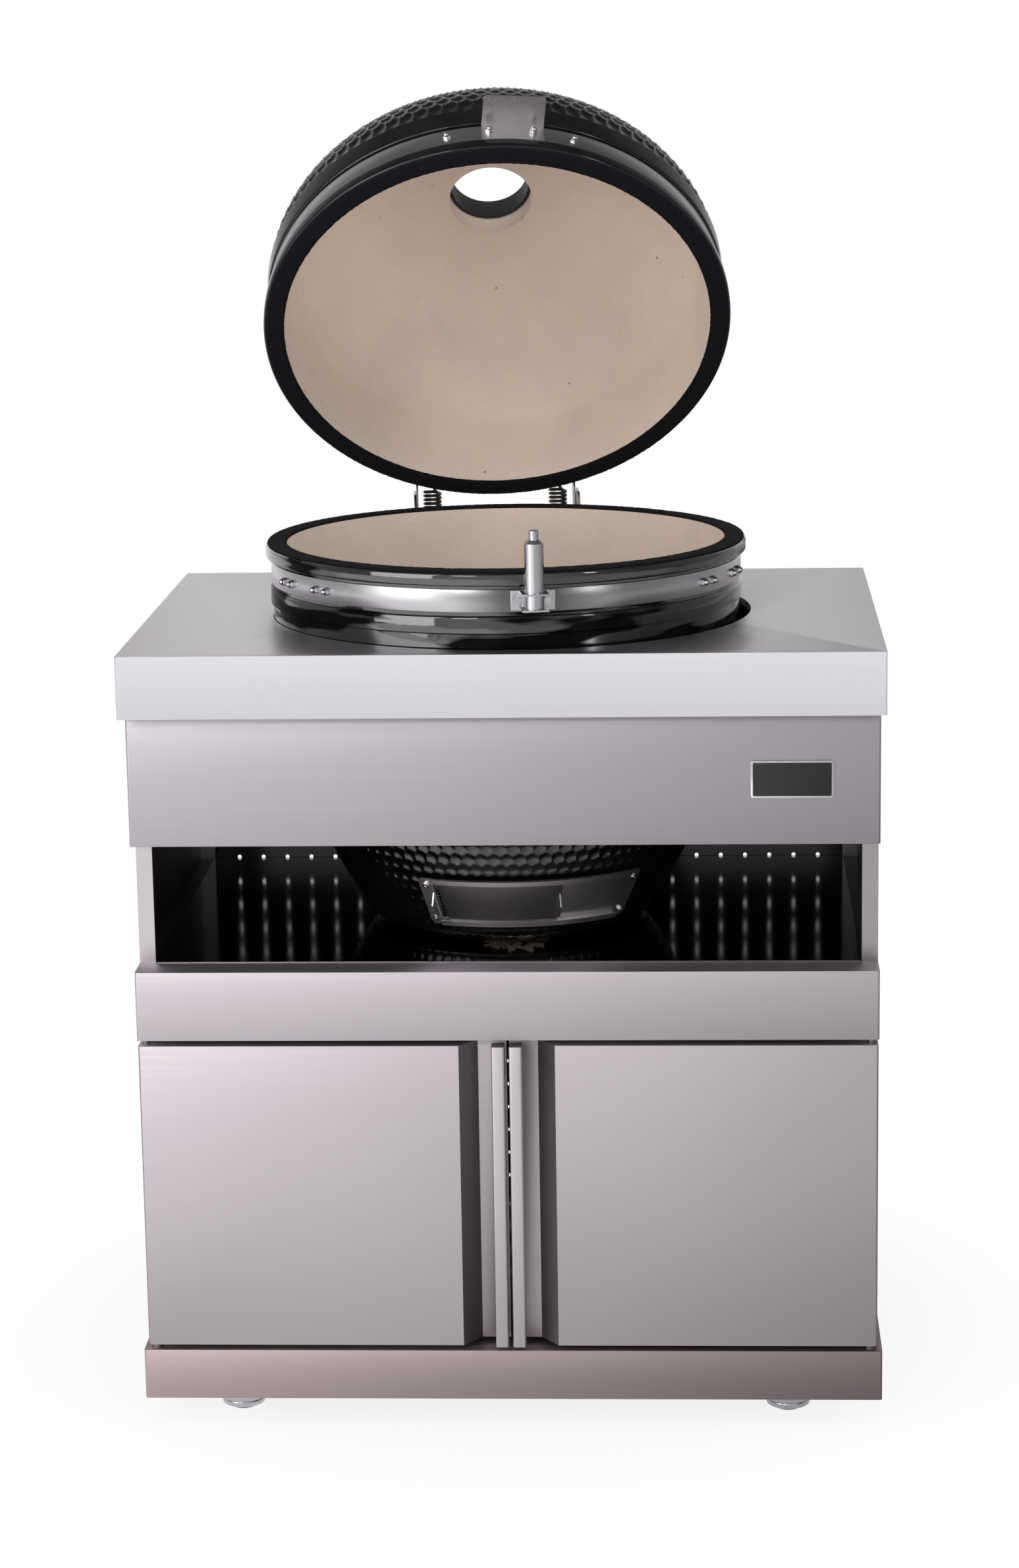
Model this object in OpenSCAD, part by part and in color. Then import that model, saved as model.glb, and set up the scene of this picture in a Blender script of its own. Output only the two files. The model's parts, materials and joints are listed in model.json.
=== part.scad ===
// Modular outdoor kitchen: a sheet steel cabinet that carries a ceramic egg grill in its worktop.
// Inside the modules Y runs back from the worktop's front edge, Z up from the floor.

/* [Worktop] */
// Width of the worktop
worktop_w = 858; // [820:1:920]
// Depth of the worktop, front to back
worktop_d = 616; // [612:1:660]
// Height of the worktop's upper face above the floor
worktop_h = 915; // [905:1:930]
// Height of the folded edge round the worktop
apron_h = 71.5; // [60:0.5:76]
// Thickness of the worktop sheet
worktop_t = 2; // [1:0.1:3]
// Diameter of the round cut-out for the grill
cutout_d = 566.4; // [566:0.2:580]
// Distance from the worktop's front edge to the centre of the cut-out
cutout_y = 310; // [306:1:316]
// Depth of the collar folded down round the cut-out
collar_h = 9; // [5:0.5:14]

/* [Cabinet] */
// Overhang of the worktop past each side of the cabinet body
overhang = 5.5; // [3.5:0.1:12]
// Thickness of the cabinet sheets
sheet_t = 1.5; // [1:0.1:2]
// Setback of the fascia, rail, doors and plinth behind the worktop's front edge
front_y = 25.7; // [20:0.1:35]
// Depth of the fascia and rail boxes, front to back
front_depth = 45; // [40:0.5:48]
// Setback of the back panel from the worktop's rear edge
back_setback = 12; // [8:0.5:20]
// Width of the folded front posts
post_w = 18.5; // [14:0.5:24]
// Distance from the worktop's upper face down to the fascia's lower edge
fascia_drop = 222.8; // [215:0.1:227]
// Distance from the worktop's upper face down to the rail's upper edge
rail_drop = 370; // [369:0.5:375]
// Height of the rail
rail_h = 80.4; // [75:0.1:86]
// Height of the folded edges of the kamado shelf
shelf_edge_h = 28; // [18:1:34]
// Height of the plinth's lower edge
plinth_z = 32.4; // [30:0.1:36]
// Height of the plinth's upper edge
plinth_top = 91.6; // [86:0.1:94]
// How far the plinth stands out past the body's sides
plinth_proud = 5; // [0:0.5:5.5]
// Bend radius of the visible sheet corners
bend_r = 3; // [2:0.5:4]

/* [Vents] */
// Distance between vent holes
vent_pitch = 31; // [28:0.5:34]
// Diameter of a vent hole
vent_d = 5; // [3:0.5:8]
// Distance from the rail's upper edge up to the lowest upper vent row
vent_rise = 2; // [2:1:25]
// Height of the lowest middle vent row
vent_lower_z = 117.7; // [110:1:130]

/* [Doors] */
// Gap between the doors and the plinth, and between the doors and the rail
door_gap = 6.5; // [5:0.1:8]
// Gap between the two doors
door_split = 3; // [2.6:0.1:6]
// Distance from the body's side to a door's outer edge
door_inset = 1; // [0:0.1:4]
// Depth of a door, front to back
door_depth = 42.3; // [40:0.1:42.5]
// Distance from the middle to the edge of a door's front face
recess_outer = 55; // [48:0.5:65]
// Distance from the middle to the foot of the slanted face
recess_inner = 34.5; // [30:0.5:40]
// Depth of the recess that holds the handles
recess_depth = 28.5; // [24:0.5:32]
// Width of a handle bar
handle_w = 15; // [12:0.5:18]
// Depth of a handle bar
handle_depth = 20; // [14:0.5:22]
// How far the handles stand in front of the doors
handle_proud = 6.7; // [4:0.1:10]
// Distance from the middle to a handle bar
handle_gap = 2.5; // [2.3:0.1:4]
// Diameter of the door pivot pins
pivot_d = 8; // [6:0.5:9]
// Distance from a door's outer edge to its pivot
pivot_inset = 7.6; // [7:0.1:9]
// Distance from the worktop's front edge to the door pivots
pivot_y = 40; // [38:0.5:42]

/* [Feet] */
// Diameter of a foot
foot_d = 54; // [40:1:70]
// Distance from the middle to the feet
foot_x = 321.5; // [280:0.5:350]
// Distance from the worktop's front edge to the front feet
foot_y = 91; // [80:1:110]
// Diameter of a levelling stem
stem_d = 12; // [10:0.5:16]
// Height of the chromed disc
foot_disc_h = 8; // [6:0.5:12]
// Height of the rubber pad
foot_pad_h = 12; // [8:0.5:14]

/* [Bowl] */
// Sideways offset of the grill from the middle
kamado_x = -6.5; // [-6.7:0.1:6.7]
// Angle that the bands and the hinge are turned through
kamado_turn = 4.93; // [0:0.01:10]
// How far the bowl's rim stands above the worktop, without its felt
rim_rise = 86; // [77:1:100]
// Radius of the rim's outer edge
rim_r = 283.6; // [283:0.1:290]
// Radius of the bowl at the worktop
belly_r = 276; // [274:0.1:276.2]
// Wall thickness of the ceramic
wall_t = 25; // [20:1:28]
// Radius of the side's long curve
side_arc_r = 620; // [600:5:640]
// Distance from the worktop's upper face down to where the bowl is widest
belly_drop = 10; // [5:1:15]
// Radius of the foot that the bowl stands on
bowl_foot_r = 150; // [130:1:155]
// Thickness of the rim felts
felt_t = 2.9; // [2:0.1:4]
// Width of the rim felts
felt_w = 23; // [18:0.1:23]
// Height of the bands
band_h = 26; // [20:0.5:30]
// Thickness of the bands
band_t = 2; // [1.5:0.1:3]
// Distance from the rim to the band's upper edge
band_drop = 18.6; // [16:0.1:22]

/* [Lid] */
// Angle that the lid is open at rest
lid_open = 52.5; // [45:0.1:58]
// Distance from the grill's axis to the hinge pin
hinge_r = 312.3; // [308:0.1:318]
// Distance from the bowl's rim down to the hinge pin
hinge_drop = 49.2; // [45:0.1:55]
// Height of the dome from its rim to its top
dome_h = 272; // [262:1:280]
// Fullness of the dome's shoulder, where 2 is an ellipse
dome_fullness = 1.72; // [1.6:0.01:2]
// Diameter of the opening in the dome's top
vent_hole_d = 104; // [96:1:110]
// Height of the ceramic collar above the lid's band
dome_collar_h = 80; // [70:1:90]

/* [Hinge] */
// Distance between the hinge side plates, over their outer faces
cheek_span = 208.5; // [200:0.5:216]
// Thickness of the hinge plates
cheek_t = 2.5; // [2:0.1:4]
// Diameter of the hinge pin
hinge_pin_d = 10; // [8:0.5:12]
// Distance between the two springs
spring_span = 160.5; // [150:0.5:166]
// Outer diameter of a spring
spring_d = 24; // [20:0.5:26]
// Wire diameter of a spring
wire_d = 3; // [2.4:0.1:3.4]
// Distance from one curl to the next
spring_pitch = 5; // [4.6:0.1:6]
// Number of curls in a spring
spring_curls = 19; // [12:1:20]

/* [Draft door] */
// Angle of the draft door's middle, from the front
draft_turn = 10.1; // [0:0.1:20]
// Half of the angle that the draft door's frame spans
draft_half = 36.6; // [34:0.1:38]
// Distance from the rail's upper edge up to the draft frame
draft_rise = 29; // [27:0.5:35]
// Height of the draft frame
draft_h = 61; // [58:0.5:64]

/* [Buffer] */
// Angle of the lid buffer, from the front
buffer_turn = 9; // [0:0.1:20]
// Diameter of the buffer sleeve
sleeve_d = 22; // [18:0.5:26]
// Diameter of the plunger
plunger_d = 11; // [8:0.5:14]
// Distance from the grill's axis to the plunger
buffer_r = 295.5; // [295:0.1:300]
// Distance from the bowl's rim down to the buffer sleeve's lower end
sleeve_drop = 39; // [33:1:45]
// Length of the buffer sleeve
sleeve_l = 78; // [68:1:80]
// How far the plunger stands out of the sleeve
plunger_out = 11; // [8:0.5:11]

/* [Hidden] */
$fn = 96;
// Play of a fit, gap between seated pieces, and how far a cutter runs past a face
FIT = 0.05;
SEAT = 0.3;
CUT = 1;

// Worktop and cabinet places
top_x = worktop_w / 2;
top_under = worktop_h - worktop_t;
apron_z = worktop_h - apron_h;
cutout_r = cutout_d / 2;
return_w = 20;
back_y = worktop_d - back_setback;
body_x = top_x - overhang;
fascia_z = worktop_h - fascia_drop;
rail_top = worktop_h - rail_drop;
rail_z = rail_top - rail_h;
plinth_x = body_x + plinth_proud;
post_y = front_y + front_depth;
post_return = 17;
rear_flange = 20;
shelf_gap = 1;
shelf_top = rail_top + shelf_gap;
shelf_t = 2;
shelf_x = body_x - post_w - shelf_gap;
brace_w = 40;
brace_h = 30;
ledge_h = 44;
ledge_w = 32;
brace_inset = [130, 350];
floor_h = 6.4;
stiffener_reach = 296;
stiffener_l = 150;
stiffener_h = 45;
post_gap = 2;
fascia_notch = 3;

// Vent fields
vent_upper_z = rail_top + vent_rise;
vent_cols = 7;
vent_rows = 6;
vent_mid_cols = 5;
vent_mid_rows = 6;
vent_first_x = vent_pitch * 6;

// Doors
door_z0 = plinth_top + door_gap;
door_z1 = rail_z - door_gap;
door_x = body_x - door_inset;
door_back = front_y + door_depth;
recess_y = front_y + recess_depth;
pivot_x = door_x - pivot_inset;
pivot_r = pivot_d / 2;
collar_r = pivot_r + 2.5;
pin_reach = 12;
pin_bore = 9;
handle_y = front_y - handle_proud;
handle_round = 2.5;
standoff_r = 4;
standoff_inset = 32;
catch_x = 40;
catch_size = [30, 14, 16];
catch_gap = 0.5;
catch_drop = 2;

// Feet
foot_edge = 1;
foot_pad_r = foot_d / 2 - 1.5 * foot_edge;
foot_back = 65;

// Bowl and bands
rim_z = worktop_h + rim_rise;
belly_z = worktop_h - belly_drop;
hinge_z = rim_z - hinge_drop;
draft_z = rail_top + draft_rise;
sleeve_z = rim_z - sleeve_drop;
sleeve_top = sleeve_z + sleeve_l;
lip_h = 15;
lip_round = 3;
seat_r = rim_r - 8;
band_z = rim_z - band_drop - band_h;
band_r = seat_r + band_t;
groove = 4;
collar_lip_r = rim_r - 4.6;
collar_lip_h = 21.4;
collar_bevel = 2;
collar_z = band_z - groove - collar_lip_h;
pad_t = 3;
bowl_z = shelf_top + pad_t;
bowl_taper_z = bowl_z + 6;
inner_floor_z = bowl_z + wall_t + 6;
felt_r1 = rim_r - 2;
felt_r0 = felt_r1 - felt_w;
felt_z = rim_z + felt_t;
felt_edge = 0.8;
plate_t = 2.5;
plate_r = band_r + plate_t;
nut_r = 5.2;
nut_base = 4;
nut_dome_r = nut_r * 0.8;
bowl_nut_turns = [-63.8, -59.4, -48.4, -44.3, 57.1, 61.2, 72.8, 77.8];

// Inside the bowl
box_gap = 12;
box_wall = 20;
grate_rise = 154;
box_rise = 70;
ring_drop = 116;
grate_z = shelf_top + grate_rise;
box_top = grate_z + box_rise;
ring_top = rim_z - ring_drop;
grate_t = 10;
grate_r = 150;
grate_ledge = 6;
grate_rim = 14;
grate_step = 20;
grate_slot = 10;
grate_rows = 6;
air_drop = 30;
air_r = 9;
grill_r = 226;
grill_t = 5;
grill_rim = 9;
grill_step = 16;
grill_slot = 10;
grill_rows = 13;

// Draft door
draft_hole_margin = 8;
draft_flange = 4.7;
draft_open_right = 17.8;
gasket_t = 3;
draft_sheet = 2;
wall_sag = 1;
slide_t = 1.2;
slide_gap = 0.3;
slide_apart = 1;
rail_w = 6;
hole_cols = 10;
hole_rows = 9;
hole_d = 3.5;
hole_step = 4.2;
hole_low = 12;
hole_turn = 1.25;
hole_first = 0.8;
window_step = 1;
screen_shown = 3;
draft_round = 6.5;
fin_low = 7;
fin_h = 36;
fin_out = 13;
fin_slant = 8;
fin_turn = 0.4;
screw_in = 9;
screw_r = 3.5;
screw_h = 2.5;
socket_r = 2;
socket_h = 1.5;

// Lid
lid_z = felt_z + SEAT;
lid_lip0 = felt_t;
lid_band_h = lid_lip0 + band_drop;
lid_collar_h = lid_band_h + band_h + groove;
dome_belly_h = 90;
dome_r = belly_r;
vent_r = vent_hole_d / 2;
neck_r = vent_r - SEAT * 2;
neck_t = 3.5;
neck_out_r = neck_r + 1;
neck_top = dome_h + 22;
vent_flange_r = 82;
vent_flange_t = 3;
cover_r = neck_r + 5;
cover_t = 2.5;
cover_pivot_r = neck_r + 13;
cover_swing = 150;
cover_post_r = 7;
cover_pin_r = 3;
cover_ear_r = 9;
wheel_r = neck_r - 4;
wheel_t = 2;
wheel_slots = 8;
wheel_rim = 8;
wheel_web = 25;
wheel_hub_r = 12;
wheel_pin_r = 4;
wheel_knob = [6, 4, 9];
catch_turn = 3.5;
catch_half = 7.5;
catch_out = 40;
catch_t = 2;
catch_round = 6;
catch_w = 2 * (plate_r - CUT) * sin(catch_half);
catch_h = lid_band_h + band_h + 2;
lid_nut_turns = [-12.4, -2.2, 8.3, 18.5];

// Hinge
pin_r = hinge_pin_d / 2;
cheek_x = cheek_span / 2;
arm_x = cheek_x - cheek_t - 0.5;
arm_ear = 12;
ear_from = 20;
ear_sweep = -200;
ear_steps = 12;
arm_step = 2;
lever_back = 55;
lever_up = 72;
rod_r = 4;
spring_r = spring_d / 2 - wire_d / 2;
spring_end = 8;
spring_l = spring_curls * spring_pitch + 2 * spring_end;
spring_z0 = hinge_z + lever_up - rod_r - spring_l;
spring_y = hinge_r + lever_back;
cheek_edge = 14;
cheek_low = spring_z0 - rod_r - cheek_edge;
cheek_top = 64;
cheek_slant = 20;
cheek_clear = 2.5;
pin_head_r = pin_r + 3;
pin_head_h = 6;

// Buffer
sleeve_r = sleeve_d / 2;
plunger_r = plunger_d / 2;
buffer_half = 5.1;
buffer_tab = 2;
buffer_edge = 4;
buffer_z0 = band_z + 2.5;
buffer_z1 = band_z + band_h - 1.5;
buffer_screw_turn = 3.3;
plunger_base = 8;
plunger_in = 40;

// Place of the whole model: its origin is the middle of its outline on the floor
tilt_y = sin(lid_open) * cos(kamado_turn);
spread_y = sqrt(1 - tilt_y * tilt_y);
ring_y = cutout_y + (hinge_r - hinge_r * cos(lid_open) + (lid_z - hinge_z) * sin(lid_open))
    * cos(kamado_turn);

function arc_points(cx, cy, r, a0, a1, n) =
    [for (i = [0:n]) [cx + r * cos(a0 + (a1 - a0) * i / n), cy + r * sin(a0 + (a1 - a0) * i / n)]];

// Radius of the bowl's outside at a height
function bowl_r(z) = belly_r - side_arc_r + sqrt(side_arc_r * side_arc_r - (z - belly_z) * (z - belly_z));

// Radius of the bowl's inside at a height
function bowl_inner(z) = z > belly_z
    ? belly_r - wall_t + (z - belly_z) * (rim_r - belly_r) / (rim_z - belly_z)
    : belly_r - side_arc_r + sqrt((side_arc_r - wall_t) ^ 2 - (z - belly_z) ^ 2);

// Height of the dome's outside at a radius
function dome_z(r) = dome_belly_h
    + (dome_h - dome_belly_h) * (1 - (r / dome_r) ^ dome_fullness) ^ (1 / dome_fullness);

// Lip, band seat and collar of the ceramic, from the rim away: side is 1 up the lid, -1 down the bowl
function rim_outline(z, side) = let (s = side) concat(
    [for (p = arc_points(0, 0, lip_round, 90, 0, 4)) [rim_r - lip_round + p.x, z + s * (lip_round - p.y)]],
    [for (p = arc_points(0, 0, lip_round, 0, 90, 4))
        [rim_r - lip_round + p.x, z + s * (lip_h - lip_round + p.y)]],
    [[seat_r, z + s * lip_h], [seat_r, z + s * (band_drop + band_h + groove)]],
    [for (p = arc_points(0, 0, lip_round, 90, 0, 4))
        [collar_lip_r - lip_round + p.x, z + s * (band_drop + band_h + groove + lip_round - p.y)]]
);

dome_steps = 24;

// Curve of the dome from its widest part to the vent opening, drawn in by the wall on its inside
function dome_curve(wall) = let (r = dome_r - wall, h = dome_h - wall - dome_belly_h,
    last = acos((vent_r / r) ^ (dome_fullness / 2)))
    [for (i = [0:dome_steps]) let (a = last * i / dome_steps)
        [r * cos(a) ^ (2 / dome_fullness), dome_belly_h + h * sin(a) ^ (2 / dome_fullness)]];

dome_outer = concat(
    rim_outline(lid_lip0, 1),
    [[collar_lip_r, dome_collar_h - collar_bevel], [dome_r, dome_collar_h]],
    dome_curve(0)
);
dome_inside = dome_curve(wall_t);
dome_inner = concat([for (i = [dome_steps:-1:0]) dome_inside[i]], [[rim_r - wall_t, lid_lip0]]);
reach_y = max([for (p = dome_outer) ring_y + p.y * tilt_y + p.x * spread_y]);
vent_reach = ring_y + neck_top * tilt_y + vent_flange_r * spread_y;
mid_y = max(reach_y, vent_reach) / 2;

echo(middle = mid_y);

module place() {
    translate([0, -mid_y, 0]) children();
}

module box(lo, hi) {
    translate(lo) cube(hi - lo);
}

// Rectangle with round corners, seen from above
module round_rect(x0, x1, y0, y1, r) {
    polygon(concat(arc_points(x1 - r, y1 - r, r, 0, 90, 5), arc_points(x0 + r, y1 - r, r, 90, 180, 5),
        arc_points(x0 + r, y0 + r, r, 180, 270, 5), arc_points(x1 - r, y0 + r, r, 270, 360, 5)));
}

// Rectangle with two round front corners, seen from above
module front_rect(x0, x1, y0, y1, r) {
    polygon(concat([[x1, y1], [x0, y1]], arc_points(x0 + r, y0 + r, r, 180, 270, 5),
        arc_points(x1 - r, y0 + r, r, 270, 360, 5)));
}

module cyl_between(r, z0, z1) {
    translate([0, 0, z0]) cylinder(r = r, h = z1 - z0);
}

module ring(r0, r1, z0, z1) {
    rotate_extrude() translate([r0, z0]) square([r1 - r0, z1 - z0]);
}

// Part of a ring between two angles, which count from the front towards the right
module sector(r0, r1, z0, z1, a0, a1) {
    rotate([0, 0, a0 - 90]) rotate_extrude(angle = a1 - a0) translate([r0, z0]) square([r1 - r0, z1 - z0]);
}

// Place at an angle from the front, with +X pointing outwards
module polar(a, r, z) {
    rotate([0, 0, a - 90]) translate([r, 0, z]) children();
}

module at_kamado() {
    translate([kamado_x, cutout_y, 0]) children();
}

module at_bands() {
    at_kamado() rotate([0, 0, kamado_turn]) children();
}

// The lid as it stands open: its own height counts from the face of its felt
module at_lid() {
    at_bands() translate([0, hinge_r, hinge_z]) rotate([-lid_open, 0, 0])
        translate([0, -hinge_r, lid_z - hinge_z]) children();
}

// Folded box, open at the back
module front_box(x, z0, z1) {
    difference() {
        translate([0, 0, z0]) linear_extrude(z1 - z0) front_rect(-x, x, front_y, post_y, bend_r);
        translate([0, 0, z0 + sheet_t]) linear_extrude(z1 - z0 - 2 * sheet_t)
            front_rect(-x + sheet_t, x - sheet_t, front_y + sheet_t, post_y + CUT, bend_r - sheet_t / 2);
    }
}

module worktop() {
    color("lightgray") difference() {
        union() {
            difference() {
                translate([0, 0, apron_z]) linear_extrude(apron_h)
                    round_rect(-top_x, top_x, 0, worktop_d, bend_r);
                translate([0, 0, apron_z - CUT]) linear_extrude(apron_h + CUT - worktop_t)
                    round_rect(-top_x + worktop_t, top_x - worktop_t, worktop_t, worktop_d - worktop_t,
                        bend_r / 2);
            }
            translate([0, cutout_y, 0]) cyl_between(cutout_r + worktop_t, worktop_h - collar_h,
                worktop_h - worktop_t / 2);
            box([-top_x + bend_r, worktop_t / 2, apron_z], [top_x - bend_r, return_w, apron_z + worktop_t]);
        }
        translate([0, cutout_y, 0]) cyl_between(cutout_r, worktop_h - collar_h - CUT, worktop_h + CUT);
    }
}

module worktop_stiffeners() {
    color("dimgray") for (a = [45:90:315])
        translate([0, cutout_y, 0]) polar(a, stiffener_reach, top_under - stiffener_h)
            translate([0, -stiffener_l / 2, 0]) {
                cube([worktop_t, stiffener_l, stiffener_h]);
                cube([stiffener_h / 3, stiffener_l, worktop_t]);
            }
}

module side_panel() {
    translate([0, 0, plinth_top]) linear_extrude(top_under - plinth_top) {
        translate([body_x - sheet_t, post_y]) square([sheet_t, back_y - sheet_t - post_y]);
        translate([body_x - post_w, post_y]) square([post_w, sheet_t]);
        translate([body_x - post_w, post_y]) square([sheet_t, post_return]);
        translate([body_x - rear_flange, back_y - 2 * sheet_t]) square([rear_flange, sheet_t]);
    }
}

module left_side_panel() {
    color("silver") mirror([1, 0, 0]) side_panel();
}

module right_side_panel() {
    color("silver") side_panel();
}

module vent_field(x0, z0, cols, rows) {
    for (i = [0:cols - 1], j = [0:rows - 1])
        translate([x0 + i * vent_pitch, back_y + CUT, z0 + j * vent_pitch]) rotate([90, 0, 0])
            cylinder(d = vent_d, h = sheet_t + 2 * CUT, $fn = 24);
}

module back_panel() {
    color("silver") difference() {
        box([-body_x, back_y - sheet_t, plinth_top], [body_x, back_y, top_under]);
        vent_field(vent_first_x, vent_upper_z, vent_cols, vent_rows);
        mirror([1, 0, 0]) vent_field(vent_first_x, vent_upper_z, vent_cols, vent_rows);
        vent_field(-vent_pitch * (vent_mid_cols - 1) / 2 + vent_pitch, vent_lower_z, vent_mid_cols,
            vent_mid_rows);
    }
}

module fascia() {
    color("lightgray") difference() {
        front_box(body_x, fascia_z, apron_z);
        at_kamado() cyl_between(belly_r + fascia_notch, fascia_z + 2 * sheet_t, apron_z + CUT);
    }
}

module lower_rail() {
    color("lightgray") difference() {
        front_box(body_x, rail_z, rail_top);
        for (s = [-1, 1]) translate([s * pivot_x, pivot_y, 0])
            cyl_between(pivot_r + FIT, rail_z - CUT, rail_z + pin_bore);
    }
}

module kamado_shelf() {
    color("dimgray") {
        box([-shelf_x, post_y, shelf_top - shelf_t], [shelf_x, back_y - 2 * sheet_t, shelf_top]);
        box([-shelf_x, post_y, shelf_top - shelf_edge_h], [shelf_x, post_y + shelf_t, shelf_top]);
    }
}

module shelf_braces() {
    color("gray") {
        for (s = [0, 1]) mirror([s, 0, 0]) {
            box([body_x - sheet_t - shelf_t, post_y + post_return + post_gap, shelf_top - ledge_h],
                [body_x - sheet_t, back_y - 2 * sheet_t - post_gap, shelf_top - shelf_t]);
            box([body_x - sheet_t - ledge_w, post_y + post_return + post_gap, shelf_top - 2 * shelf_t],
                [body_x - sheet_t, back_y - 2 * sheet_t - post_gap, shelf_top - shelf_t]);
        }
        for (y = brace_inset) difference() {
            box([-body_x + sheet_t + ledge_w, post_y + y, shelf_top - shelf_t - brace_h],
                [body_x - sheet_t - ledge_w, post_y + y + brace_w, shelf_top - shelf_t]);
            box([-body_x, post_y + y + shelf_t, shelf_top - shelf_t - brace_h - CUT],
                [body_x, post_y + y + brace_w - shelf_t, shelf_top - 2 * shelf_t]);
        }
    }
}

module cupboard_floor() {
    color("silver") {
        difference() {
            box([-shelf_x, post_y, plinth_top], [shelf_x, back_y - 2 * sheet_t, plinth_top + floor_h]);
            box([-shelf_x + sheet_t, post_y + sheet_t, plinth_top - CUT],
                [shelf_x - sheet_t, back_y - 3 * sheet_t, plinth_top + floor_h - sheet_t]);
        }
    }
}

module plinth() {
    color("silver") difference() {
        translate([0, 0, plinth_z]) linear_extrude(plinth_top - plinth_z)
            front_rect(-plinth_x, plinth_x, front_y, back_y, bend_r);
        translate([0, 0, plinth_z - CUT]) linear_extrude(plinth_top - plinth_z + CUT - sheet_t)
            front_rect(-plinth_x + sheet_t, plinth_x - sheet_t, front_y + sheet_t, back_y - sheet_t,
                bend_r - sheet_t / 2);
        for (s = [-1, 1]) translate([s * pivot_x, pivot_y, 0])
            cyl_between(pivot_r + FIT, plinth_top - pin_bore, plinth_top + CUT);
    }
}

module door_pivot_pins() {
    color("gray") for (s = [-1, 1]) translate([s * pivot_x, pivot_y, 0]) {
        cyl_between(pivot_r, plinth_top - pin_reach / 2, door_z0 + pin_reach);
        cyl_between(collar_r, plinth_top, door_z0 - SEAT);
        cyl_between(pivot_r, door_z1 - pin_reach, rail_z + 1.5 * sheet_t);
        cyl_between(collar_r, rail_z + sheet_t, rail_z + 2 * sheet_t);
    }
}

module door_catches() {
    color("dimgray") for (s = [-1, 1]) translate([s * catch_x, 0, 0]) {
        box([-catch_size.x / 2, door_back + catch_gap, door_z1 - catch_size.z - catch_drop],
            [catch_size.x / 2, door_back + catch_gap + catch_size.y, door_z1 - catch_drop]);
        box([-catch_size.x / 2, post_y, door_z1 - catch_size.z],
            [catch_size.x / 2, post_y + sheet_t, shelf_top - shelf_edge_h]);
    }
}

module at_feet() {
    for (x = [-foot_x, foot_x], y = [foot_y, back_y - foot_back]) translate([x, y, 0]) children();
}

module foot_stems() {
    color("gray") at_feet() cyl_between(stem_d / 2, foot_pad_h + foot_disc_h, plinth_top - sheet_t);
}

module foot_discs() {
    color("silver") at_feet() rotate_extrude() polygon([[0, foot_pad_h], [foot_d / 2 - foot_edge, foot_pad_h],
        [foot_d / 2, foot_pad_h + foot_edge], [foot_d / 2, foot_pad_h + foot_disc_h - 2 * foot_edge],
        [foot_d / 2 - 2 * foot_edge, foot_pad_h + foot_disc_h], [0, foot_pad_h + foot_disc_h]]);
}

module foot_pads() {
    color("black") at_feet() cyl_between(foot_pad_r, 0, foot_pad_h);
}

slant = atan2(recess_depth, recess_outer - recess_inner);
slant_shift = sheet_t * (1 - cos(slant)) / sin(slant);

// Outline of a door pan seen from above, drawn in by g for the hollow
function door_outline(g, back) = concat(
    [[door_x - g, back]],
    [for (p = arc_points(door_x - bend_r, front_y + bend_r, bend_r - g / 2, 360, 270, 5)) [p.x - g / 2, p.y + g / 2]],
    [[recess_outer + slant_shift * g / sheet_t, front_y + g],
        [recess_inner + slant_shift * g / sheet_t, recess_y + g],
        [door_split / 2 + g, recess_y + g], [door_split / 2 + g, back]]
);

module door_pan() {
    difference() {
        translate([0, 0, door_z0]) linear_extrude(door_z1 - door_z0)
            polygon(door_outline(0, door_back - sheet_t));
        translate([0, 0, door_z0 + sheet_t]) linear_extrude(door_z1 - door_z0 - 2 * sheet_t)
            polygon(door_outline(sheet_t, door_back));
        translate([pivot_x, pivot_y, 0]) cyl_between(pivot_r + FIT, door_z0 - CUT, door_z1 + CUT);
    }
}

module door_liner() {
    box([door_split / 2, door_back - sheet_t, door_z0], [door_x, door_back, door_z1]);
}

module handle() {
    translate([0, 0, door_z0]) linear_extrude(door_z1 - door_z0)
        round_rect(handle_gap, handle_gap + handle_w, handle_y, handle_y + handle_depth, handle_round);
    for (z = [door_z0 + standoff_inset, door_z1 - standoff_inset])
        translate([handle_gap + handle_w / 2, recess_y, z]) rotate([90, 0, 0])
            cylinder(r = standoff_r, h = recess_y - handle_y - handle_depth / 2);
}

module left_door_pan() {
    color("lightgray") mirror([1, 0, 0]) door_pan();
}

module left_door_liner() {
    color("silver") mirror([1, 0, 0]) door_liner();
}

module left_handle() {
    color("lightgray") mirror([1, 0, 0]) handle();
}

module right_door_pan() {
    color("lightgray") door_pan();
}

module right_door_liner() {
    color("silver") door_liner();
}

module right_handle() {
    color("lightgray") handle();
}

bowl_steps = 18;
draft_top = draft_z + draft_h;

module bowl() {
    outer = concat(
        rim_outline(rim_z, -1),
        [[collar_lip_r, collar_z + collar_bevel], [bowl_r(collar_z), collar_z]],
        [for (i = [1:bowl_steps]) let (z = collar_z + (bowl_taper_z - collar_z) * i / bowl_steps) [bowl_r(z), z]],
        [[bowl_foot_r, bowl_z], [0, bowl_z]]
    );
    inner = concat(
        [[0, inner_floor_z]],
        [for (i = [bowl_steps:-1:0]) let (z = rim_z + (inner_floor_z - rim_z) * i / bowl_steps) [bowl_inner(z), z]]
    );
    color("black") at_kamado() difference() {
        rotate_extrude($fn = 144) polygon(concat(outer, inner));
        sector(bowl_foot_r - wall_t, belly_r, draft_z + draft_hole_margin, draft_top - draft_hole_margin,
            window_a0 + window_step, draft_open_right - window_step);
    }
}

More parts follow.
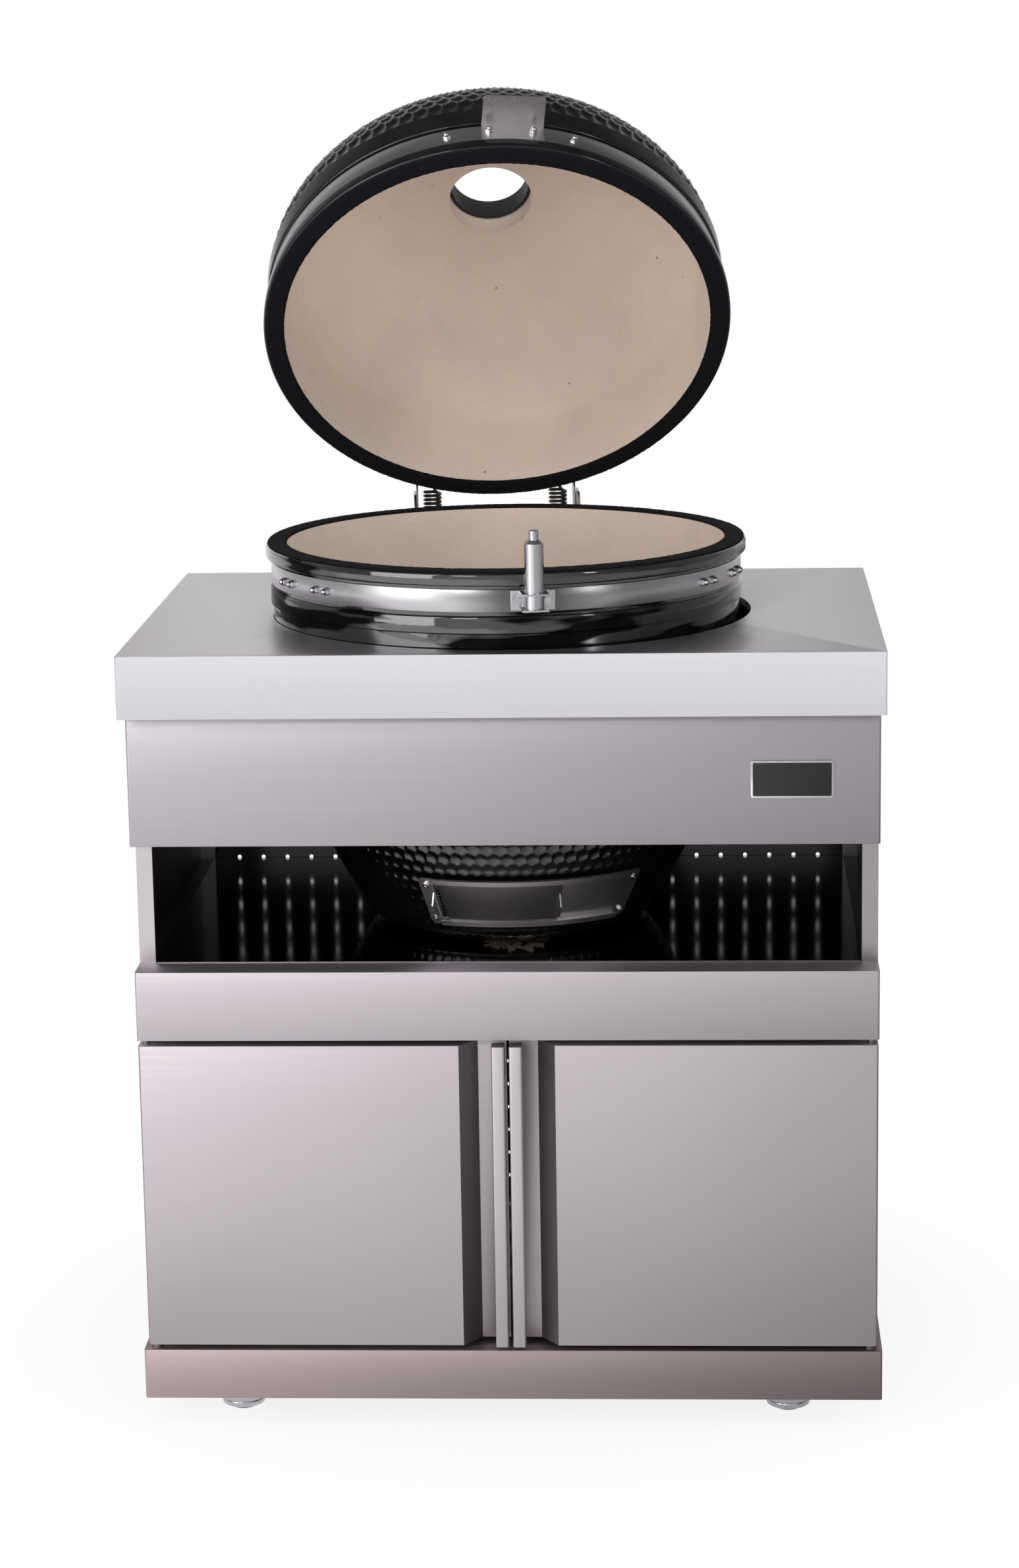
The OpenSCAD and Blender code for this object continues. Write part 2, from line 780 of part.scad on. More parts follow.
module felt(z0, z1) {
    side = z0 + (z1 - z0) * 0.7;
    rotate_extrude($fn = 144) polygon([[felt_r0, z0], [felt_r1, z0], [felt_r1, side],
        [felt_r1 - felt_edge, z1], [felt_r0 + felt_edge, z1], [felt_r0, side]]);
}

module bowl_felt() {
    color("black") at_kamado() felt(rim_z, felt_z);
}

module bowl_band() {
    color("silver") at_kamado() ring(seat_r, band_r, band_z, band_z + band_h);
}

module domed_nut() {
    rotate([0, 90, 0]) {
        cylinder(r = nut_r, h = nut_base, $fn = 6);
        rotate_extrude($fn = 32) polygon(concat([[0, 0], [nut_dome_r, 0]],
            arc_points(0, nut_base, nut_dome_r, 0, 90, 6)));
    }
}

module bowl_band_nuts() {
    color("silver") at_kamado() for (a = bowl_nut_turns) polar(a, band_r, band_z + band_h / 2) domed_nut();
}

module bowl_pads() {
    color("black") at_kamado() for (a = [0:90:270])
        polar(a + draft_turn, bowl_foot_r - wall_t, shelf_top) cylinder(d = wall_t, h = pad_t, $fn = 48);
}

module fire_box() {
    z0 = inner_floor_z + SEAT;
    color("tan") at_kamado() difference() {
        rotate_extrude() polygon(concat(
            [[0, z0], [bowl_inner(z0) - 2 * box_gap, z0]],
            [for (i = [1:8]) let (z = z0 + (box_top - z0) * i / 8) [bowl_inner(z) - box_gap, z]],
            [for (i = [8:-1:4]) let (z = grate_z + (box_top - grate_z) * (i - 4) / 4)
                [bowl_inner(z) - box_gap - box_wall, z]],
            [[grate_r - grate_ledge, grate_z], [bowl_inner(z0) - 3 * box_gap, z0 + box_wall], [0, z0 + box_wall]]
        ));
        sector(grate_r / 2, belly_r, z0 + box_wall, draft_top - draft_hole_margin, window_a0 + window_step,
            draft_open_right - window_step);
        for (a = [30:60:330]) polar(a + draft_turn, 2 * grate_r / 3, grate_z - air_drop) rotate([0, 90, 0])
            cylinder(r = air_r, h = grate_r);
    }
}

module fire_ring() {
    z0 = box_top + SEAT;
    color("tan") at_kamado() rotate_extrude() polygon(concat(
        [for (i = [0:6]) let (z = z0 + (ring_top - z0) * i / 6) [bowl_inner(z) - box_gap, z]],
        [for (i = [6:-1:0]) let (z = z0 + (ring_top - z0) * i / 6) [bowl_inner(z) - box_gap - box_wall, z]]
    ));
}

module charcoal_grate() {
    color("dimgray") at_kamado() difference() {
        cyl_between(grate_r, grate_z + SEAT, grate_z + SEAT + grate_t);
        for (i = [-grate_rows:grate_rows]) let (x = i * grate_step, half = sqrt((grate_r - grate_rim) ^ 2 - x * x))
            for (s = [0, 1]) mirror([0, s, 0]) box([x - grate_slot / 2, grate_slot / 2, grate_z],
                [x + grate_slot / 2, half, grate_z + 2 * grate_t]);
    }
}

module cooking_grate() {
    color("silver") at_kamado() difference() {
        cyl_between(grill_r, ring_top + SEAT, ring_top + SEAT + grill_t);
        for (i = [-grill_rows:grill_rows]) let (x = i * grill_step, half = sqrt((grill_r - grill_rim) ^ 2 - x * x))
            for (s = [0, 1]) mirror([0, s, 0]) box([x - grill_slot / 2, grill_slot / 2, ring_top],
                [x + grill_slot / 2, half, ring_top + grill_t + CUT]);
    }
}

draft_slope = (bowl_r(draft_top) - bowl_r(draft_z)) / draft_h;
draft_a0 = draft_turn - draft_half;
draft_a1 = draft_turn + draft_half;
window_a0 = draft_a0 + draft_flange;

// Radius at a distance d in front of the wall's own slope, at a height
function draft_r(d, z) = bowl_r(draft_z) + wall_sag + d + (z - draft_z) * draft_slope;

// Solid of revolution along the wall between two angles, from an outline in distance and height
module draft_form(points, a0, a1) {
    rotate([0, 0, a0 - 90]) rotate_extrude(angle = a1 - a0) polygon([for (p = points) [draft_r(p.x, p.y), p.y]]);
}

// Sloping plate between two distances from the wall
module draft_plate(d0, d1, z0, z1, a0, a1) {
    draft_form([[d0, z0], [d1, z0], [d1, z1], [d0, z1]], a0, a1);
}

// Upright fin whose outer edge is shorter than its foot
module draft_fin(d, a) {
    z0 = draft_z + fin_low;
    draft_form([[d, z0], [d + fin_out, z0 + fin_slant], [d + fin_out, z0 + fin_h - 2 * fin_slant],
        [d, z0 + fin_h]], a, a + fin_turn);
}

module draft_window() {
    draft_plate(-CUT, gasket_t + draft_sheet + CUT, draft_z + draft_hole_margin, draft_top - draft_hole_margin,
        window_a0, draft_open_right);
}

// Rounds the four corners of the plates that it is cut from
module draft_corners() {
    inset = draft_round - FIT;
    for (s = [0, 1], t = [0, 1]) rotate([0, 0, draft_turn]) mirror([s, 0, 0]) rotate([0, 0, draft_half - 90])
        translate([0, 0, draft_z + draft_h / 2]) mirror([0, 0, t]) translate([0, -inset, draft_h / 2 - inset])
            difference() {
                box([bowl_foot_r - wall_t, 0, 0], [belly_r, draft_round + CUT, draft_round + CUT]);
                rotate([0, 90, 0]) cyl_between(draft_round, bowl_foot_r - wall_t - CUT, belly_r + CUT);
            }
}

screen_d = gasket_t + draft_sheet + slide_gap;
slide_d = screen_d + slide_t + slide_apart;
rail_d = slide_d + slide_t + slide_gap;

module draft_gasket() {
    color("black") at_kamado() difference() {
        draft_plate(SEAT, gasket_t, draft_z, draft_top, draft_a0, draft_a1);
        draft_window();
        draft_corners();
    }
}

// Channel that holds the slides: a web from web_z up and a lip from lip_z up
module draft_rail(web_z, lip_z) {
    draft_plate(gasket_t, rail_d, web_z, web_z + rail_w / 2, window_a0, draft_a1 - draft_flange);
    draft_plate(rail_d, rail_d + draft_sheet, lip_z, lip_z + rail_w, window_a0, draft_a1 - draft_flange);
}

module draft_frame() {
    color("silver") at_kamado() {
        difference() {
            draft_plate(gasket_t, gasket_t + draft_sheet, draft_z, draft_top, draft_a0, draft_a1);
            draft_window();
            draft_corners();
        }
        draft_rail(draft_z, draft_z);
        draft_rail(draft_top - rail_w / 2, draft_top - rail_w);
        draft_fin(gasket_t + draft_sheet / 2, window_a0 - 2 * fin_turn);
    }
}

module draft_screws() {
    color("silver") at_kamado()
        for (a = [draft_a0 + draft_flange / 2, draft_a1 - draft_flange / 2])
            for (z = [draft_z + screw_in, draft_top - screw_in])
                polar(a, draft_r(gasket_t + draft_sheet + FIT, z), z) rotate([0, 90 + atan(draft_slope), 0])
                    difference() {
                        cylinder(r = screw_r, h = screw_h, $fn = 48);
                        translate([0, 0, screw_h - socket_h]) cylinder(r = socket_r, h = socket_h + CUT, $fn = 6);
                    }
}

module draft_slide() {
    color("silver") at_kamado() {
        draft_plate(slide_d, slide_d + slide_t, draft_z + rail_w / 2 + slide_gap,
            draft_top - rail_w / 2 - slide_gap, window_a0 + screen_shown, draft_open_right + window_step);
        draft_fin(slide_d + slide_t / 2, draft_open_right + window_step - 2 * fin_turn);
    }
}

module draft_screen() {
    a0 = window_a0 + window_step / 2;
    z0 = draft_z + rail_w / 2 + slide_gap;
    color("silver") at_kamado() difference() {
        draft_plate(screen_d, screen_d + slide_t, z0, draft_top - rail_w / 2 - slide_gap, a0,
            draft_open_right - window_step);
        for (i = [0:hole_cols - 1], j = [0:hole_rows - 1])
            polar(a0 + hole_turn * (i + hole_first), bowl_r(draft_z), draft_z + hole_low + j * hole_step)
                rotate([0, 90, 0])
                    cylinder(d = hole_d, h = draft_h, $fn = 16);
    }
}

module buffer_bracket() {
    color("silver") at_kamado() difference() {
        union() {
            sector(band_r, plate_r, buffer_z0, buffer_z1, buffer_turn - buffer_half, buffer_turn + buffer_half);
            for (z = [buffer_z0 + buffer_tab, buffer_z1 - buffer_tab])
                polar(buffer_turn, plate_r - CUT, z) translate([0, -sleeve_r - buffer_edge, 0])
                    cube([buffer_r + sleeve_r + buffer_edge - plate_r, 2 * (sleeve_r + buffer_edge), buffer_tab]);
        }
        ring(0, band_r, band_z - CUT, band_z + band_h + CUT);
        polar(buffer_turn, buffer_r, band_z) cylinder(r = sleeve_r, h = band_h);
    }
}

module buffer_screws() {
    color("silver") at_kamado() for (s = [-1, 1])
        polar(buffer_turn + s * buffer_screw_turn, plate_r, (buffer_z0 + buffer_z1) / 2) rotate([0, 90, 0])
            cylinder(r = screw_r, h = screw_h, $fn = 48);
}

module buffer_sleeve() {
    color("lightgray") at_kamado() polar(buffer_turn, buffer_r, 0) difference() {
        rotate_extrude() polygon([[0, sleeve_z], [sleeve_r - 1, sleeve_z], [sleeve_r, sleeve_z + 1],
            [sleeve_r, sleeve_top - 4], [sleeve_r - 3, sleeve_top], [0, sleeve_top]]);
        cyl_between(plunger_r + FIT, sleeve_z + plunger_base, sleeve_top + CUT);
    }
}

module buffer_plunger() {
    color("gray") at_kamado() polar(buffer_turn, buffer_r, 0) rotate_extrude() polygon([
        [0, sleeve_top - plunger_in], [plunger_r, sleeve_top - plunger_in],
        [plunger_r, sleeve_top + plunger_out - 1], [plunger_r - 1, sleeve_top + plunger_out],
        [0, sleeve_top + plunger_out]]);
}

module dome() {
    color("black") at_lid() rotate_extrude($fn = 144) polygon(concat(dome_outer, dome_inner));
}

module lid_felt() {
    color("black") at_lid() mirror([0, 0, 1]) felt(-felt_t, 0);
}

module lid_band() {
    color("silver") at_lid() ring(seat_r, band_r, lid_band_h, lid_band_h + band_h);
}

module lid_catch_plate() {
    color("silver") at_lid() {
        sector(band_r, plate_r, lid_band_h - CUT, catch_h, catch_turn - catch_half, catch_turn + catch_half);
        difference() {
            translate([0, 0, catch_h - catch_t]) rotate([0, 0, catch_turn]) linear_extrude(catch_t)
                front_rect(-catch_w / 2, catch_w / 2, -plate_r - catch_out, -band_r * cos(catch_half), catch_round);
            ring(0, band_r, catch_h - 2 * catch_t, catch_h + catch_t);
        }
    }
}

module lid_band_nuts() {
    color("silver") at_lid() for (a = lid_nut_turns)
        polar(a, abs(a - catch_turn) < catch_half ? plate_r : band_r, lid_band_h + band_h / 2) domed_nut();
}

// Hinge plate between two distances from the middle, from an outline in Y and Z
module side_plate(x0, x1, points) {
    for (s = [0, 1]) mirror([s, 0, 0]) translate([x0, 0, 0]) rotate([90, 0, 90])
        linear_extrude(x1 - x0) polygon(points);
}

module hinge_base() {
    back = sqrt(rim_r ^ 2 - (cheek_x - cheek_t) ^ 2) + cheek_clear;
    fit = sqrt(band_r ^ 2 - (cheek_x - cheek_t) ^ 2) + FIT;
    half = asin((cheek_x - cheek_t / 2) / plate_r);
    clear_y = worktop_d - cutout_y + cheek_x * sin(kamado_turn) + 2 * cheek_clear;
    color("silver") at_bands() difference() {
        union() {
            sector(band_r, plate_r, band_z, band_z + band_h, 180 - half, 180 + half);
            side_plate(cheek_x - cheek_t, cheek_x, [[spring_y - cheek_edge, cheek_low],
                [clear_y, worktop_h + cheek_edge], [back, band_z - 2 * cheek_clear], [fit, band_z],
                [fit, band_z + band_h], [back, band_z + band_h + 2 * cheek_clear],
                [back, hinge_z + cheek_top - cheek_slant], [hinge_r - cheek_slant, hinge_z + cheek_top],
                [hinge_r + cheek_slant, hinge_z + cheek_top], [spring_y + cheek_edge, hinge_z + cheek_slant],
                [spring_y + cheek_edge, cheek_low]]);
            translate([0, spring_y, spring_z0 - rod_r]) rotate([0, 90, 0])
                cylinder(r = rod_r, h = 2 * (cheek_x - cheek_t), center = true);
        }
        translate([0, hinge_r, hinge_z]) rotate([0, 90, 0])
            cylinder(r = pin_r + FIT, h = cheek_span + 2 * CUT, center = true);
    }
}

module hinge_arm() {
    fit = sqrt(band_r ^ 2 - (arm_x - cheek_t) ^ 2) + FIT;
    half = asin((arm_x - cheek_t / 2) / plate_r);
    low = hinge_z - lid_z;
    clear = sqrt(rim_r ^ 2 - (arm_x - cheek_t) ^ 2) + cheek_clear - 1;
    arm_low = lid_band_h + arm_step;
    arm_top = lid_band_h + band_h - arm_step;
    bar_y = hinge_r + lever_back * cos(lid_open) - lever_up * sin(lid_open);
    bar_z = low + lever_back * sin(lid_open) + lever_up * cos(lid_open);
    color("silver") at_lid() difference() {
        union() {
            sector(band_r, plate_r, lid_band_h, lid_band_h + band_h, 180 - half, 180 + half);
            side_plate(arm_x - cheek_t, arm_x, concat(
                [[fit, arm_low], [fit, arm_top], [bar_y + 2 * rod_r, arm_top]],
                arc_points(hinge_r, low, arm_ear, ear_from, ear_sweep, ear_steps), [[clear, arm_low]]));
            translate([0, bar_y, bar_z]) rotate([0, 90, 0])
                cylinder(r = rod_r, h = 2 * arm_x - cheek_t, center = true);
        }
        translate([0, hinge_r, low]) rotate([0, 90, 0])
            cylinder(r = pin_r + FIT, h = cheek_span + 2 * CUT, center = true);
    }
}

module hinge_pin() {
    color("gray") at_bands() translate([0, hinge_r, hinge_z]) rotate([0, 90, 0]) {
        cylinder(r = pin_r, h = cheek_span + pin_head_h, center = true);
        for (s = [-1, 1]) translate([0, 0, s * (cheek_x + pin_head_h / 2 + SEAT)])
            cylinder(r = pin_head_r, h = pin_head_h, center = true);
    }
}

// A spring's centre line: in from the axis, round, and back to the axis, with straight ends
curl_rings = 8;
wire_sides = 6;
spring_path = let (turns = spring_curls * curl_rings) concat(
    [[0, 0, 0], [0, 0, spring_end - wire_d]],
    [for (i = [0:turns]) let (a = 360 * i / curl_rings, r = spring_r * min(1, i / 4, (turns - i) / 4))
        [r * cos(a), r * sin(a), spring_end + spring_pitch * i / curl_rings]],
    [[0, 0, spring_l - spring_end + wire_d], [0, 0, spring_l]]
);

function unit(v) = v / norm(v);
function heading(path, i) = unit(path[min(i + 1, len(path) - 1)] - path[max(i - 1, 0)]);
function side_way(t, near) = unit(near - t * (near * t));
function carried(path, i, near) = let (n = side_way(heading(path, i), near))
    i == len(path) - 1 ? [n] : concat([n], carried(path, i + 1, n));

spring_sides = carried(spring_path, 0, [1, 0, 0]);
spring_points = [for (i = [0:len(spring_path) - 1]) let (t = heading(spring_path, i), n = spring_sides[i])
    for (k = [0:wire_sides - 1]) let (a = 360 * k / wire_sides)
        spring_path[i] + wire_d / 2 * (n * cos(a) + cross(t, n) * sin(a))];
spring_last = len(spring_path) - 1;
spring_faces = concat(
    [[for (k = [wire_sides - 1:-1:0]) k]],
    [for (i = [0:spring_last - 1], k = [0:wire_sides - 1]) let (a = i * wire_sides + k,
        b = i * wire_sides + (k + 1) % wire_sides)
        each [[a, b, b + wire_sides], [a, b + wire_sides, a + wire_sides]]],
    [[for (k = [0:wire_sides - 1]) spring_last * wire_sides + k]]
);
spring_gap = min([for (i = [0:spring_last - 6], j = [i + 6:min(i + 14, spring_last)])
    norm(spring_path[i] - spring_path[j]) - wire_d]);
echo(least_spring_gap = spring_gap);

module spring(side) {
    color("gray") at_bands() translate([side * spring_span / 2, spring_y, spring_z0])
        polyhedron(spring_points, spring_faces);
}

module left_spring() {
    spring(-1);
}

module right_spring() {
    spring(1);
}

module vent_base() {
    seat = [for (i = [0:4]) let (r = vent_r + SEAT + (vent_flange_r - vent_r - SEAT) * i / 4) [r, dome_z(r) + SEAT]];
    color("gray") at_lid() {
        rotate_extrude() polygon(concat(
            [[neck_r - neck_t, seat[0].y]], seat,
            [[vent_flange_r, seat[4].y + vent_flange_t], [neck_out_r, dome_h + 2 * vent_flange_t],
                [neck_out_r, neck_top], [neck_r - neck_t, neck_top]]));
        translate([cover_pivot_r, 0, 0]) {
            cyl_between(cover_post_r, dome_h - CUT, neck_top);
            cyl_between(cover_pin_r, neck_top, neck_top + 2 * cover_t);
        }
    }
}

// The cover turns on a pin beside the neck: it stands swung clear of the opening
module at_cover() {
    at_lid() translate([cover_pivot_r, 0, neck_top + SEAT]) rotate([0, 0, cover_swing])
        translate([-cover_pivot_r, 0, 0]) children();
}

module wheel_openings(r0, r1, z, h) {
    for (i = [0:wheel_slots - 1]) sector(r0, r1, z, z + h, i * 360 / wheel_slots,
        (i + 1) * 360 / wheel_slots - wheel_web);
}

module vent_cover() {
    color("gray") at_cover() difference() {
        union() {
            cylinder(r = cover_r, h = cover_t);
            translate([cover_pivot_r, 0, 0]) cylinder(r = cover_ear_r, h = cover_t);
            cylinder(r = wheel_pin_r, h = 2 * cover_t + wheel_t);
        }
        translate([cover_pivot_r, 0, 0]) cyl_between(cover_pin_r + FIT, -CUT, cover_t + CUT);
        wheel_openings(wheel_hub_r, wheel_r - wheel_rim, -CUT, cover_t + 2 * CUT);
    }
}

module vent_wheel() {
    color("gray") at_cover() translate([0, 0, cover_t + SEAT]) difference() {
        union() {
            cylinder(r = wheel_r, h = wheel_t);
            rotate([0, 0, -wheel_web / 2]) translate([wheel_r - wheel_rim + CUT, -wheel_knob.y / 2, wheel_t / 2])
                cube(wheel_knob);
        }
        cyl_between(wheel_pin_r + FIT, -CUT, wheel_t + CUT);
        wheel_openings(wheel_hub_r, wheel_r - wheel_rim, -CUT, wheel_t + 2 * CUT);
    }
}

place() worktop();
place() worktop_stiffeners();
place() left_side_panel();
place() right_side_panel();
place() back_panel();
place() fascia();
place() kamado_shelf();
place() shelf_braces();
place() lower_rail();
place() cupboard_floor();
place() plinth();
place() door_pivot_pins();
place() door_catches();
place() foot_stems();
place() foot_discs();
place() foot_pads();
place() left_door_pan();
place() left_door_liner();
place() left_handle();
place() right_door_pan();
place() right_door_liner();
place() right_handle();
place() bowl();
place() bowl_felt();
place() bowl_band();
place() bowl_band_nuts();
place() bowl_pads();
place() fire_box();
place() fire_ring();
place() charcoal_grate();
place() cooking_grate();
place() draft_frame();
place() draft_gasket();
place() draft_screws();
place() draft_slide();
place() draft_screen();
place() buffer_bracket();
place() buffer_screws();
place() buffer_sleeve();
place() buffer_plunger();
place() dome();
place() lid_felt();
place() lid_band();
place() lid_catch_plate();
place() lid_band_nuts();
place() hinge_base();
place() hinge_arm();
place() hinge_pin();
place() left_spring();
place() right_spring();
place() vent_base();
place() vent_cover();
place() vent_wheel();
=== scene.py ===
"""Looks of a modular outdoor kitchen: a steel cabinet with a ceramic egg grill, built round its frame."""

import contextlib
import json
import math
import random

import bmesh
import bpy
from mathutils import Matrix, Vector

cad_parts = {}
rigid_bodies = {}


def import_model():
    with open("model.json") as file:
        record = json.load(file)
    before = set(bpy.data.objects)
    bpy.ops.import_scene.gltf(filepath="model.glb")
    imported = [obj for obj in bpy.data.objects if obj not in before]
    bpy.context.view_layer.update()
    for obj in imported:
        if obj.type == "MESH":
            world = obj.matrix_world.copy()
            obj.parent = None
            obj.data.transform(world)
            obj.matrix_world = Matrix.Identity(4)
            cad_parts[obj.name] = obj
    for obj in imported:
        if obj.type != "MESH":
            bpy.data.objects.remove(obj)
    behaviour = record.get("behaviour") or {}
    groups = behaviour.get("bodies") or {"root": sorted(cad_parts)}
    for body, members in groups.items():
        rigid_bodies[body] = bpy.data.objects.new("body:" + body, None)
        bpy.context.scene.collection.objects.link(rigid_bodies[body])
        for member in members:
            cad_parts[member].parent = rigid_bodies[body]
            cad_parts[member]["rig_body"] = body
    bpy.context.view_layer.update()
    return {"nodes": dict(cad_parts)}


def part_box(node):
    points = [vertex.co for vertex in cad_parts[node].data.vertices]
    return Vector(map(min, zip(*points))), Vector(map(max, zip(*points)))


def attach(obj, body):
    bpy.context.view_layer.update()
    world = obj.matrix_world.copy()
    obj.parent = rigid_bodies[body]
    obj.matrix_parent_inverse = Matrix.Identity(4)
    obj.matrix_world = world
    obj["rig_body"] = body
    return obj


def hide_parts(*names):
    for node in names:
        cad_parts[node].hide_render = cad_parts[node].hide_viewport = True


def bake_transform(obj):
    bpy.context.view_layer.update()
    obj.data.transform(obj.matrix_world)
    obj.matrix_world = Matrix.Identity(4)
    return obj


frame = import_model()

MM = 0.001

# Picture size and the camera, whose place counts from the middle of the worktop's front edge on the floor
PHOTO_HEIGHT = 2380
FOCAL_PIXELS = 5636.4
SENSOR = 36.0
CAMERA_AT = (0.2209, -4.0438, 1.6237)
CAMERA_YAW = 2.990
CAMERA_PITCH = -11.927
CAMERA_ROLL = -0.923
VIEW_END = 60

# Light from all round, and the room in mirrors: two levels, and the two directions that they lie between
WORLD_LIGHT = 0.58
ROOM_DEPTH = (0.64, 0.74, -0.3, 0.3)
ROOM_ACROSS = (1.2, 0.8, -0.35, 0.25)
ROOM_SIDES = (1.0, 0.35, 0.4, 0.85)
ROOM_TOP = (1.0, 0.2, 0.35, 0.8)

# Floor: size, paint, where the shadow fades, own light in the shadow, and in mirrors levels and places
FLOOR_SIZE = 16.0
FLOOR_PAINT = (0.8, 0.8, 0.8)
SHADOW_NEAR = 0.4
SHADOW_FAR = 0.75
SHADOW_SHARE = 0.85
FLOOR_ACROSS = (1.25, 0.55, -0.6, 0.7)
FLOOR_AHEAD = (1.05, 0.6, -1.2, -0.4)

# Lamps: place, target, width, height, watts, and whether mirrors show them
LAMPS = {
    "key_left": ((-2.3, -2.3, 1.7), (0, 0, 0.8), 1.9, 2.2, 37, True),
    "top_soft": ((0.2, -0.6, 3.6), (0, 0, 0.9), 2.0, 1.8, 40, False),
    "fill_right": ((2.6, -2.6, 1.6), (0, 0, 1.1), 1.6, 1.6, 25, False),
    "front_strip": ((-1.3, -4.4, 2.3), (0, 0, 0.7), 0.9, 0.5, 16, True),
    "right_strip": ((2.6, -3.0, 1.9), (0, 0, 0.8), 0.35, 1.1, 9, True),
}

# Scales of drawn lines, whose long way is the small number
ALONG_X = (3, 900, 900)
ALONG_Z = (900, 900, 3)
ALONG_BAND = (9, 9, 2500)
ALONG_PLATE = (500, 500, 30)
ALONG_DRAFT = (900, 900, 8)

# Drawn sheet with little contrast, and the places across the unit between which painted light fades
EVEN = {"streak": 0.025, "cloud": 0.02}
FADE_LEFT, FADE_RIGHT = -0.43, 0.43

# Colours; the fascia's and the plinth's greys are darker copies of the front's grey, as painted shade
FRONT_GREY = (0.57, 0.525, 0.555)
SHADED_FASCIA_GREY = (0.48, 0.445, 0.475)
SHADED_PLINTH_GREY = (0.54, 0.435, 0.445)
BAND_GREY = (0.46, 0.45, 0.465)
RUST = (0.42, 0.25, 0.18)
WHITE = (1, 1, 1, 1)

# Glaze: where the foot has chips, across the front, how high they reach, and where the collar begins
CHIPS = ((-0.045, -0.03), (0.055, 0.04))
CHIP_HEIGHT = 32 * MM
CHIP_DROP = 13 * MM
COLLAR_FROM, COLLAR_FULL = 0.86, 0.90

# Heights between which the lid's clay changes from painted shade low down to painted light high up
RISE_FROM, RISE_TO = 1.12, 1.38

# Places of the grill, in metres, read from the frame
FRONT_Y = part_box("worktop")[0].y
FASCIA_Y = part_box("fascia")[0].y
BAND_LOW, BAND_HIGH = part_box("bowl_band")
AXIS = Vector(((BAND_LOW.x + BAND_HIGH.x) / 2, (BAND_LOW.y + BAND_HIGH.y) / 2, 0))
BOWL_Z, RIM_Z = (corner.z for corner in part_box("bowl"))
BAND_R = (BAND_HIGH.x - BAND_LOW.x) / 2
BAND_Z = BAND_LOW.z
BAND_H = BAND_HIGH.z - BAND_LOW.z
FELT_LOW, FELT_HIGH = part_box("bowl_felt")
FELT_R = (FELT_HIGH.x - FELT_LOW.x) / 2
FELT_T = FELT_HIGH.z - FELT_LOW.z

# Sizes of the egg, in metres
TURN = math.radians(4.93)
LID_OPEN = math.radians(52.5)
HINGE_R = 312.3 * MM
HINGE_Z = 951.8 * MM
LID_GAP = 0.3 * MM
RIM_R = 283.6 * MM
LIP_H = 15 * MM
LIP_ROUND = 3 * MM
SEAT_R = RIM_R - 8 * MM
BAND_DROP = 18.6 * MM
GROOVE = 4 * MM
SEAT_H = BAND_DROP + BAND_H + GROOVE
COLLAR_R = RIM_R - 4.6 * MM
COLLAR_H = 21.4 * MM
COLLAR_ROUND = 2 * MM
WALL = 25 * MM
BELLY_R = 276 * MM
BELLY_Z = 905 * MM
SIDE_ARC_R = 620 * MM
FOOT_R = 150 * MM
FOOT_TAPER = 6 * MM
FLOOR_SLOPE = 30 * MM
FLOOR_HOLE_R = 1 * MM
FELT_W = 23 * MM
FELT_SIDES = 720
BAND_SIDES = 240
DOME_H = 272 * MM
DOME_BELLY_H = 90 * MM
DOME_COLLAR_H = 80 * MM
FULLNESS = 1.72
VENT_R = 52 * MM
LID_Z = RIM_Z + FELT_T + LID_GAP
LID_BAND_H = FELT_T + BAND_DROP
PLATE_T = 2.5 * MM

# Unevenness of a felt's faces and of its edges, in millimetres
FELT_FUZZ = 0.35
FELT_FRAY = (-0.5, 0.2)

# Rows of points: on a rounding, down the plain side above the pits, up the inside, and up the dome
ROUND_STEPS = 5
PLAIN_ROWS = 40
INNER_ROWS = 60
DOME_ROWS = 200
DOME_INNER_ROWS = 40

# Shallow pits of the ceramic, and how far they stay from the ends of the pitted line
PITS_ROUND = 96
PIT_ROW = 15.2 * MM
PIT_R = 9.4 * MM
PIT_DEPTH = 3.0 * MM
PIT_SHAPE = 0.8
PIT_STEPS = 6
PIT_STEP = PIT_ROW / PIT_STEPS
LEAST_STEP = 0.9 * PIT_STEP
PIT_FADE = 2 * MM
FIRST_ROW = 0.55
BOWL_PITS_TOP = 800 * MM
BOWL_PITS_END = 8 * MM
DOME_PITS_BEGIN = 4 * MM
DOME_PITS_END = 30 * MM

# Draft door, whose angles count from the front towards the right
DRAFT_Z = 574 * MM
DRAFT_TOP = 635 * MM
DRAFT_MARGIN = 8 * MM
WINDOW_A0 = math.radians(-21.8)
WINDOW_A1 = math.radians(17.8)
WINDOW_EDGE = math.radians(1)

# Cap nuts: sizes, angles from the front towards the right, and the angles that the catch plate covers
NUT_R = 5.2 * MM
NUT_BASE = 4 * MM
NUT_SIDES = 24
CAP_R = 0.72 * NUT_R
CAP_FOOT = 0.8 * MM
CAP_FLAT = 0.95
BOWL_NUTS = (-63.8, -59.4, -48.4, -44.3, 57.1, 61.2, 72.8, 77.8)
LID_NUTS = (-12.4, -2.2, 8.3, 18.5)
CATCH_TURN = 3.5
CATCH_HALF = 7.5

# Hinge springs: their place, wire, coils, and the narrower start and end of the coils
SPRING_X = 80.25 * MM
SPRING_Y = HINGE_R + 55 * MM
SPRING_Z0, SPRING_Z1 = (corner.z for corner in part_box("left_spring"))
WIRE_R = 1.9 * MM
COIL_R = 10.1 * MM
COILS = 19
COIL_STEPS = 20
COIL_NARROW = 0.35
NARROW_STEPS = 12
SPRING_END = 8 * MM
ROD_R = 4 * MM
HOOK_GAP = 0.3 * MM
HOOK_STEPS = 12
HOOK_START, HOOK_TURN = -30, 300

